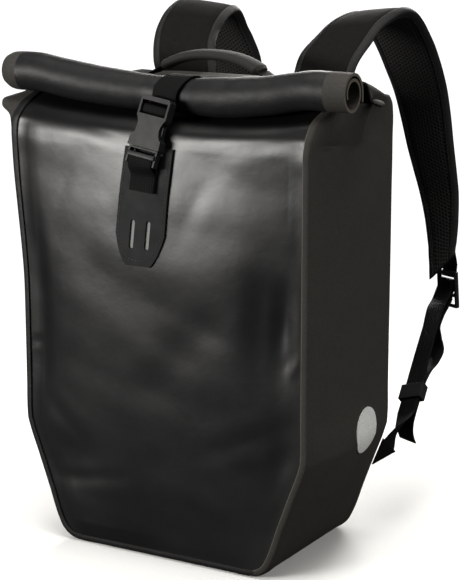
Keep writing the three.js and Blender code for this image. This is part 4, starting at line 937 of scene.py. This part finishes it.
def along_paths(name, tree, paths, values):
    """What a node tree lays along paths of millimetre points, as a plain mesh."""
    points, edges = [], []
    for path in paths:
        first = len(points)
        points.extend((np.asarray(path) * MM).tolist())
        edges.extend((first + k, first + k + 1) for k in range(len(path) - 1))
    mesh = bpy.data.meshes.new(name)
    mesh.from_pydata(points, edges, [])
    piece = new_object(name, mesh)
    modifier = piece.modifiers.new(name, "NODES")
    modifier.node_group = tree
    for item in tree.interface.items_tree:
        if item.item_type == "SOCKET" and item.in_out == "INPUT" and item.name in values:
            modifier[item.identifier] = values[item.name]
    return applied(piece)


def sew(name, paths, slot):
    """Stitches along paths, riding on the bag."""
    sewn = bpy.context.scene.bag_stitches
    tree = bpy.data.node_groups.get("stitches") or stitch_tree()
    values = {
        "Pitch": sewn.pitch * MM, "Length": sewn.length * MM, "Thread": sewn.thread * MM,
        "Material": finish_named("thread"),
    }
    return settle(along_paths(name, tree, paths, values), slot)


def colour(name, description, *channels):
    """A colour in the sidebar."""
    return bpy.props.FloatVectorProperty(
        name=name, description=description, subtype="COLOR", size=3, default=channels, min=0, max=1)


def measure(name, description, default, low=0, high=1000, **more):
    """A number in the sidebar."""
    return bpy.props.FloatProperty(
        name=name, description=description, default=default, min=low, max=high, **more)


def power(name, description, watts):
    """A light's power in the sidebar."""
    return measure(name, description, watts, subtype="POWER", unit="POWER")


class BagCloth(bpy.types.PropertyGroup):
    """Colours and folds of the cloth."""

    coated_colour: colour("Coated cloth", "Colour of the smooth front cloth", 0.0019, 0.0019, 0.002)
    coated_roughness: measure("Coated roughness", "How broad the shine of the front cloth is", 0.37, 0.1, 1)
    matte_colour: colour("Laminated cloth", "Colour of the matte side and back cloth", 0.026, 0.0243, 0.0215)
    strap_colour: colour("Strap cloth", "Colour of the straps' outer face", 0.0052, 0.0051, 0.0048)
    crease_depth: measure("Crease depth", "How deep the creases of the front are, as a share", 0.8, 0, 3)
    edge_roll: measure("Edge roll", "How far the left margin turns back, in millimetres", 2.6, 0, 6)
    wave_depth: measure("Wave depth", "Depth of the slow waves of slack cloth, in millimetres", 0.25, 0, 3)


class BagStraps(bpy.types.PropertyGroup):
    """Padding of the shoulder straps."""

    binding_width: measure("Binding width", "Width of the tape round the edges, in millimetres", 7.2, 3, 12)
    crown: measure("Padding crown", "How far the padding swells in the middle, in millimetres", 0.5, 0, 2)
    cell_pitch: measure("Mesh cell", "Distance between the cells of the mesh, in millimetres", 3.4, 1.5, 8)


class BagTrim(bpy.types.PropertyGroup):
    """Colours of the webbing, the plastic, the patch and the grip."""

    webbing_colour: colour("Webbing", "Colour of the webbing", 0.003, 0.003, 0.003)
    plastic_colour: colour("Plastic", "Colour of the buckle and the locks", 0.007, 0.007, 0.0072)
    patch_colour: colour("Patch", "Colour of the rubber-coated patch", 0.0052, 0.0054, 0.0057)
    grip_colour: colour("Grip", "Colour of the grip's cloth", 0.017, 0.0167, 0.016)
    edge_radius: measure("Mould radius", "Rounding of the plastic's edges, in millimetres", 0.55, 0.1, 1.5)


class BagStitches(bpy.types.PropertyGroup):
    """Sizes of the stitches."""

    pitch: measure("Pitch", "Distance from stitch to stitch, in millimetres", 3.4, 2, 8)
    length: measure("Length", "Visible length of a stitch, in millimetres", 2.6, 1, 6)
    thread: measure("Thread", "Thickness of the thread, in millimetres", 0.55, 0.2, 1.5)


class BagStage(bpy.types.PropertyGroup):
    """Floor, lights and surroundings."""

    floor_size: measure("Floor size", "Width of the pale floor, in metres", 1.9, 1, 100)
    key_power: power("Key light", "Power of the soft light in front", 56)
    fill_power: power("Fill light", "Power of the light overhead", 50)
    side_power: power("Side light", "Power of the light at the right", 24)
    back_power: power("Back light", "Power of the light behind", 70)
    sky: measure("Surroundings", "Light that the surroundings give", 0.05)
    backdrop: measure("Backdrop", "Brightness of the white backdrop", 1.15)


def softened_shoulder(grid):
    """The front's places with the bend at its shoulder spread out, less so behind the patch."""
    softer = grid[..., 1:].copy()
    for _ in range(SHOULDER_PASSES):
        softer[1:-1] = (softer[:-2] + 2 * softer[1:-1] + softer[2:]) / 4
    x, z = grid[..., 0], grid[..., 2]
    share = np.minimum(1, (WIDTH / 2 - np.abs(x)) / SHOULDER_FADE)
    share *= np.exp(-((z - SHOULDER) / SHOULDER_REACH) ** 6)
    share *= 1 - 0.6 * np.exp(-((x - PATCH_X - 2) / PATCH_WIDE) ** 4)
    moved = mix(grid[..., 1:], softer, np.clip(share, 0, 1)[..., None])
    return np.concatenate([grid[..., :1], moved], -1)


def crease_depth(x, z):
    """How far the creases press the front cloth in at each place."""
    total = np.zeros(x.shape)
    for across, up, turn, length, width, depth in CREASES:
        c, s = math.cos(math.radians(turn)), math.sin(math.radians(turn))
        u = ((x - across) * c + (z - up) * s) / length
        v = np.abs((z - up) * c - (x - across) * s) / width
        total += depth * np.exp(-u ** 2) * (np.exp(-v ** 1.6) - 0.42 * np.exp(-((v - 1.7) ** 2)))
    return total


def front_cloth(cloth):
    """The front panel: slack waves, creases, and a left margin that turns back to its seam."""
    grid = finer(flared(front_grid()), 7, 9)
    flat = grid * (1, 0, 1)
    margin = np.minimum(1, np.minimum.reduce([
        np.linalg.norm(flat - flat[:, :1], axis=-1),
        np.linalg.norm(flat - flat[:, -1:], axis=-1),
        np.abs(grid[..., 2] - grid[0, 0, 2]),
    ]) / SEAM_FADE) * (1 - ease((grid[..., 2] - SHOULDER + 8) / 34))
    grid = softened_shoulder(grid)
    x, z = grid[..., 0], grid[..., 2]
    push = cloth.wave_depth * (soft_noise(flat, 95, 4) + 0.45 * soft_noise(flat, 42, 9))
    inside = x - x[:, :1]
    push += cloth.edge_roll * ease(inside / ROLL_IN) * (1 - ease((inside - ROLL_IN) / ROLL_BACK))
    push -= cloth.crease_depth * crease_depth(x, z)
    near_patch = np.exp(-((x - PATCH_X) / PATCH_WIDE) ** 4 - ((z - PATCH_Z) / PATCH_TALL) ** 4)
    grid[..., 1] -= push * margin * (1 - near_patch)
    settle(shell("front_panel_cloth", grid, WALL, finishes("coated", "edge")), "coated", "front_panel")


def back_cloth():
    """The back panel with its slow waves, which end below the shoulder."""
    grid = finer(flared(back_grid()), 7, 10)
    waves = 0.2 * soft_noise(grid, 90, 21) * (1 - ease((grid[..., 2] - 360) / 30))
    grid += grid_normals(grid) * waves[..., None]
    settle(shell("back_panel_cloth", grid, WALL, finishes("matte", "edge")), "matte", "back_panel")


def gusset_cloth():
    """The sides and the base, with the cut edge of the right lap and the coated cloth of the left."""
    grid = finer(flared(gusset_grid()), 4, 5)
    free = np.sin(np.pi * np.linspace(0, 1, grid.shape[1])) ** 2 * ease((grid[..., 2] - 10) / 50)
    slack = 0.5 * soft_noise(grid, 80, 33) + 0.3 * soft_noise(grid, 34, 35) * ease((grid[..., 2] - 250) / 120)
    grid += grid_normals(grid) * (slack * free)[..., None]
    grid[..., 2] = np.maximum(grid[..., 2], 0)
    x = grid[:-1, :-1, 0]
    kinds = np.zeros(x.shape, int)
    kinds[:, :1] = x[:, :1] > 0
    lap = kinds[:, :LAP_COLUMNS]
    lap[x[:, :LAP_COLUMNS] < LAP_FROM] = 2
    gusset = shell("gusset_cloth", grid, WALL, finishes("matte", "edge", "rolled"), kinds, rim=0)
    settle(gusset, "matte", "gusset")


class BAG_OT_body(bpy.types.Operator):
    """Make the front panel, the back panel, the gusset and the folded ends of the mouth"""

    bl_idname = "bag.body"
    bl_label = "Body cloth"

    def execute(self, context):
        front_cloth(context.scene.bag_cloth)
        back_cloth()
        gusset_cloth()
        for side in SIDES:
            rounded(f"fold_tab_{side}_cloth", f"fold_tab_{side}", "matte", "matte", 0.8, 2, 20)
        return {"FINISHED"}


class BAG_OT_roll(bpy.types.Operator):
    """Make the rolled mouth"""

    bl_idname = "bag.roll"
    bl_label = "Rolled mouth"

    def execute(self, context):
        grid = finer(roll_grid(), 3, 7)
        ends = 1 - ease((np.abs(grid[..., 0]) - ROLL_LENGTH / 2 + 10) / 10)
        waves = 0.45 * soft_noise(grid * (1, 0.6, 0.6), 46, 50)
        waves += 0.25 * soft_noise(grid * (1, 0.5, 0.5), 19, 51)
        pinch = 0.5 * np.exp(-((np.abs(grid[..., 0] - 5) - 17) / 6) ** 2)
        turns = np.linspace(0, 1, grid.shape[0])[:, None]
        outer = ease((turns - 0.08) * 12) * (1 - ease((turns - 0.55) * 8))
        press = outer * (0.6 * ends * np.abs(waves) - 0.3 * pinch)
        grid -= grid_normals(grid) * press[..., None]
        middle = (grid[:-1, :-1, 0] + grid[1:, 1:, 0]) / 2
        cuffs = (np.abs(middle) > CUFF_FROM).astype(int)
        roll = shell("rolled_mouth_cloth", grid, ROLL_WALL, finishes("rolled", "matte", "edge"), cuffs)
        settle(roll, "coated", "roll_top")
        return {"FINISHED"}


def bent_band(name, node, start, lead=(1, 0, 0), steps=6):
    """A woven band over the path of its solid."""
    stations = stations_of(node, start, lead, steps)
    settle(tube(name, stations, webbing_section, finishes("webbing")), "webbing", node)


def latch_bar():
    """The bar of the buckle that the lower webbing goes round."""
    tilt = Matrix.Rotation(math.radians(90 - BUCKLE_TILT), 4, "X")
    buckle = Matrix.Translation(BUCKLE_MOUTH) @ tilt @ Matrix.Rotation(math.radians(-BUCKLE_TURN), 4, "Z")
    bar = Matrix.Translation(LATCH_AT) @ Matrix.Diagonal((*LATCH_BAR, 1))
    box = bmesh.new()
    bmesh.ops.create_cube(box, size=1, matrix=Matrix.Scale(MM, 4) @ buckle @ bar)
    bmesh.ops.bevel(box, geom=box.edges[:], offset=0.6 * MM, segments=3, profile=0.5, affect="EDGES")
    mesh = bpy.data.meshes.new("latch_bar")
    box.to_mesh(mesh)
    box.free()
    mesh.materials.append(finish_named("plastic"))
    mesh.shade_smooth()
    settle(new_object("buckle_latch_bar", mesh), "plastic")


def slot_liner(side, shift):
    """Painted reflection: a pale sheet in a slot of the patch, where the front cloth reflects the light."""
    across, up = np.meshgrid(np.linspace(-2.1, 2.1, 3), np.linspace(-12.7, 12.7, 9))
    x = closure_x(SLOT_HEIGHT) + shift * SLOT_SPACING + up * CLOSURE_SLOPE + across
    z = SLOT_HEIGHT + up
    y = np.vectorize(front_y)(x, z) - 0.6
    settle(shell(f"slot_liner_{side}", np.stack([x, y, z], -1), 0.2, finishes("slot_highlight")), "patch")


class BAG_OT_closure(bpy.types.Operator):
    """Make the patch, the buckle and the closure webbing"""

    bl_idname = "bag.closure"
    bl_label = "Closure"

    def execute(self, context):
        radius = context.scene.bag_trim.edge_radius
        rounded("closure_patch_rubber", "closure_patch", "patch", "patch", 0.45, 2, 50)
        rounded("buckle_socket", "buckle_female", "plastic", "plastic", radius)
        rounded("buckle_prongs", "buckle_male", "plastic", "plastic", radius * 0.8)
        latch_bar()
        # Painted reflection in the two slots of the patch
        slot_liner("left", -0.5)
        slot_liner("right", 0.5)
        bent_band("closure_webbing_lower_band", "closure_webbing_lower", CLOSURE_LOW)
        bent_band("closure_webbing_upper_band", "closure_webbing_upper", CLOSURE_HIGH, steps=8)
        return {"FINISHED"}


def grip_section(stations, i):
    """The padded grip's section, with a seam along each side."""
    w, t = stations["half"][i], stations["thick"][i]
    corners = []
    for turn in np.arange(28) * math.pi / 14:
        c, s = math.cos(turn), math.sin(turn)
        seam = 1 - 0.1 * math.exp(-((abs(c) - 0.88) / 0.05) ** 2)
        corners.append((w * c, t * seam * math.copysign(abs(s) ** 0.72, s)))
    return corners


class BAG_OT_handle(bpy.types.Operator):
    """Make the padded grip and its webbing ends"""

    bl_idname = "bag.handle"
    bl_label = "Carry handle"

    def execute(self, context):
        along = (0, 1, 0)
        stations = stations_of("handle_grip", GRIP_LEFT, along, 8)
        grip = tube("grip_padding", stations, grip_section, finishes("grip"))
        settle(grip, "grip", "handle_grip")
        for side, start in (("right", GRIP_RIGHT), ("left", GRIP_LEFT)):
            bent_band(f"handle_webbing_{side}_band", f"handle_webbing_{side}", start, along, 8)
        return {"FINISHED"}


def pad_section(stations, i):
    """A padded strap's section: tape round the edges, a groove beside it, and a swelled middle."""
    shape = bpy.context.scene.bag_straps
    w, t = stations["half"][i], stations["thick"][i]
    tape = min(shape.binding_width, w * 0.42)
    edge = min(t * 0.75, 1.5)
    crown = shape.crown * min(1, t / 4)
    outer = [
        (-w, edge * 0.35), (-w + 0.5, edge * 0.9), (-w + tape * 0.3, mix(edge, t, 0.5)),
        (-w + tape * 0.66, t * 0.97), (-w + tape * 0.93, t), (-w + tape, t * 0.82),
        (-w + tape * 1.12, t * 0.96), (-w + mix(tape, w, 0.35), t + crown * 0.7),
        (-w + mix(tape, w, 0.68), t + crown * 0.95),
    ]
    face = outer + [(0, t + crown)] + [(-u, v) for u, v in reversed(outer)]
    return face + [(u, -v) for u, v in reversed(face)]


def strap_stitches(stations):
    """Paths beside the tape, on both faces of both edges."""
    inset = np.minimum(bpy.context.scene.bag_straps.binding_width * 0.72, stations["half"] * 0.3)
    paths = []
    for edge in (-1, 1):
        for face in (-1, 1):
            u = edge * (stations["half"] - inset)[:, None]
            v = face * (stations["thick"] + 0.12)[:, None]
            paths.append((stations["centre"] + stations["across"] * u + stations["normal"] * v)[6:-6])
    return paths


class BAG_OT_shoulder_straps(bpy.types.Operator):
    """Make the padded shoulder straps with their binding, spacer mesh and stitches"""

    bl_idname = "bag.shoulder_straps"
    bl_label = "Shoulder straps"

    def execute(self, context):
        for side, mirror in SIDES.items():
            node = f"shoulder_strap_{side}"
            stations = stations_of(node, STRAP_ROOT * mirror, steps=8)
            materials = finishes("strap", "binding", "spacer")
            strap = tube(f"{node}_padding", stations, pad_section, materials, PAD_KINDS)
            settle(strap, "padded", node)
            sew(f"{node}_stitches", strap_stitches(stations), "padded")
        return {"FINISHED"}


class BAG_OT_adjusters(bpy.types.Operator):
    """Make the webbing, locks, keepers and tabs below the shoulder straps"""

    bl_idname = "bag.adjusters"
    bl_label = "Strap adjusters"

    def execute(self, context):
        radius = context.scene.bag_trim.edge_radius
        for side, mirror in SIDES.items():
            webbing, stub = f"adjuster_webbing_{side}", f"lock_stub_{side}"
            bent_band(f"{webbing}_band", webbing, WEBBING_FOOT * mirror, steps=5)
            bent_band(f"{stub}_band", stub, STUB_END * mirror)
            rounded(f"ladder_lock_{side}_plastic", f"ladder_lock_{side}", "plastic", "plastic", radius)
            rounded(f"keeper_{side}_loop", f"keeper_{side}", "binding", "webbing", 0.5)
            tab = rounded(f"anchor_tab_{side}_cloth", f"anchor_tab_{side}", "webbing", "matte", 0.5).data
            middle = Matrix.Translation(sum((v.co for v in tab.vertices), Vector()) / len(tab.vertices))
            tab.transform(middle @ Matrix.Scale(TAB_SCALE, 4) @ middle.inverted())
        return {"FINISHED"}


class BAG_OT_badge(bpy.types.Operator):
    """Make the bare round badge on the side"""

    bl_idname = "bag.badge"
    bl_label = "Round badge"

    def execute(self, context):
        rounded("round_badge", "side_badge", "film", "reflective", 0.25, 2, 50)
        return {"FINISHED"}


def on_patch(x, z, off):
    """A place over the face of the patch."""
    return (x, front_y(x, z) - PATCH_SEAT - PATCH_WALL - off, z)


class BAG_OT_stitches(bpy.types.Operator):
    """Sew the patch and the foot of the lower webbing"""

    bl_idname = "bag.stitches"
    bl_label = "Stitches"

    def execute(self, context):
        shares = np.linspace(-1, 1, 9)
        paths = []
        for side in (-1, 1):
            paths.append([on_patch(closure_x(z) + side * half, z, 0.15) for z, half in PATCH_SEAM])
        paths.append([on_patch(closure_x(281) + t * 11.5, 281 + 3 * abs(t) ** 3, 0.15) for t in shares])
        for z in (345, 349.5):
            paths.append([on_patch(closure_x(z) + t * 11, z, 3.75) for t in shares])
        sew("closure_stitches", paths, "patch")
        return {"FINISHED"}


def make_floor(reach):
    """A pale disc that fades out towards its rim, and that gives the bag little light."""
    turns = np.arange(64) * math.pi / 32
    rim = [(reach * math.cos(turn), reach * math.sin(turn), FLOOR_HEIGHT) for turn in turns]
    mesh = bpy.data.meshes.new("floor")
    mesh.from_pydata(rim, [], [range(64)])
    paper = Finish("studio_paper", PAPER, 0.95, 0.1)
    paper.tint(paper.add("ShaderNodeLightPath").outputs["Is Camera Ray"], PAPER_GLOW, PAPER)
    paper.bump(paper.noise(300), 0.0002)
    away = paper.add("ShaderNodeVectorMath", {0: paper.coordinates(1)}, operation="LENGTH").outputs["Value"]
    fade = paper.between(away, 0, 1, reach * 0.4, reach * 0.97)
    clear = paper.add("ShaderNodeBsdfTransparent").outputs[0]
    blend = paper.add("ShaderNodeMixShader", {0: fade, 1: paper.shader.outputs[0], 2: clear})
    paper.put(paper.tree.nodes["Material Output"].inputs["Surface"], blend.outputs[0])
    mesh.materials.append(paper.material)
    new_object("floor", mesh)


def make_surroundings(scene, sky, backdrop):
    """A world that is bright to the camera and faint as light."""
    world = bpy.data.worlds.new("surroundings")
    world.use_nodes = True
    scene.world = world
    make, join = world.node_tree.nodes.new, world.node_tree.links.new
    background = world.node_tree.nodes["Background"]
    background.inputs["Color"].default_value = (1, 1, 1, 1)
    seen, strength = make("ShaderNodeLightPath"), make("ShaderNodeMapRange")
    strength.inputs["To Min"].default_value = sky
    strength.inputs["To Max"].default_value = backdrop
    join(seen.outputs["Is Camera Ray"], strength.inputs["Value"])
    join(strength.outputs["Result"], background.inputs["Strength"])


def make_light(scene, name, place, aim, wide, tall, power):
    """A warm soft box that looks at a place."""
    light = bpy.data.lights.new(name, "AREA")
    light.shape, light.size, light.size_y = "RECTANGLE", wide, tall
    light.energy, light.color = power, LIGHT_COLOUR
    lamp = bpy.data.objects.new(name, light)
    scene.collection.objects.link(lamp)
    lamp.location = place
    lamp.rotation_euler = (Vector(aim) - Vector(place)).to_track_quat("-Z", "Y").to_euler()


def make_camera(scene):
    """The camera that was fitted to the photograph."""
    azimuth, elevation = map(math.radians, CAMERA_TURN)
    level = math.cos(elevation)
    back = Vector((math.sin(azimuth) * level, -math.cos(azimuth) * level, math.sin(elevation)))
    camera = bpy.data.cameras.new("camera")
    camera.sensor_width, camera.lens = SENSOR, SENSOR * FOCAL_PIXELS / PICTURE_HEIGHT
    camera.clip_start, camera.clip_end = 0.05, 60
    eye = bpy.data.objects.new("camera", camera)
    scene.collection.objects.link(eye)
    eye.location = CAMERA_PLACE
    eye.rotation_mode = "QUATERNION"
    eye.rotation_quaternion = (-back).to_track_quat("-Z", "Y")
    scene.camera = eye


class BAG_OT_stage(bpy.types.Operator):
    """Set the floor, the lights and the camera"""

    bl_idname = "bag.stage"
    bl_label = "Stage"

    def execute(self, context):
        scene, stage = context.scene, context.scene.bag_stage
        make_floor(stage.floor_size / 2)
        scene.view_settings.view_transform = "Standard"
        make_surroundings(scene, stage.sky, stage.backdrop)
        for name, power, *where in LIGHTS:
            make_light(scene, name, *where, getattr(stage, power))
        make_camera(scene)
        return {"FINISHED"}


class BAG_PT_sidebar(bpy.types.Panel):
    """Sizes, colours and pieces of the backpack"""

    bl_idname = "BAG_PT_sidebar"
    bl_label = "Backpack"
    bl_space_type = "VIEW_3D"
    bl_region_type = "UI"
    bl_category = "Backpack"

    def draw(self, context):
        for key, group in GROUPS.items():
            box = self.layout.box()
            for name in group.__annotations__:
                box.prop(getattr(context.scene, key), name)
        for operator in OPERATORS:
            self.layout.operator(operator.bl_idname)


GROUPS = {
    "bag_cloth": BagCloth, "bag_straps": BagStraps, "bag_trim": BagTrim,
    "bag_stitches": BagStitches, "bag_stage": BagStage,
}
OPERATORS = (
    BAG_OT_stage, BAG_OT_body, BAG_OT_roll, BAG_OT_closure, BAG_OT_handle, BAG_OT_shoulder_straps,
    BAG_OT_adjusters, BAG_OT_badge, BAG_OT_stitches,
)


def register():
    """Make the classes and the scene's settings known."""
    for made in (*GROUPS.values(), *OPERATORS, BAG_PT_sidebar):
        bpy.utils.register_class(made)
    for key, group in GROUPS.items():
        setattr(bpy.types.Scene, key, bpy.props.PointerProperty(type=group))


def unregister():
    """Take the scene's settings and the classes away."""
    for key in GROUPS:
        delattr(bpy.types.Scene, key)
    for made in (BAG_PT_sidebar, *reversed(OPERATORS), *reversed(tuple(GROUPS.values()))):
        bpy.utils.unregister_class(made)


def main():
    """Make every piece in order."""
    register()
    bpy.ops.bag.stage()
    bpy.ops.bag.body()
    bpy.ops.bag.roll()
    bpy.ops.bag.closure()
    bpy.ops.bag.handle()
    bpy.ops.bag.shoulder_straps()
    bpy.ops.bag.adjusters()
    bpy.ops.bag.badge()
    bpy.ops.bag.stitches()


if __name__ == "__main__":
    main()
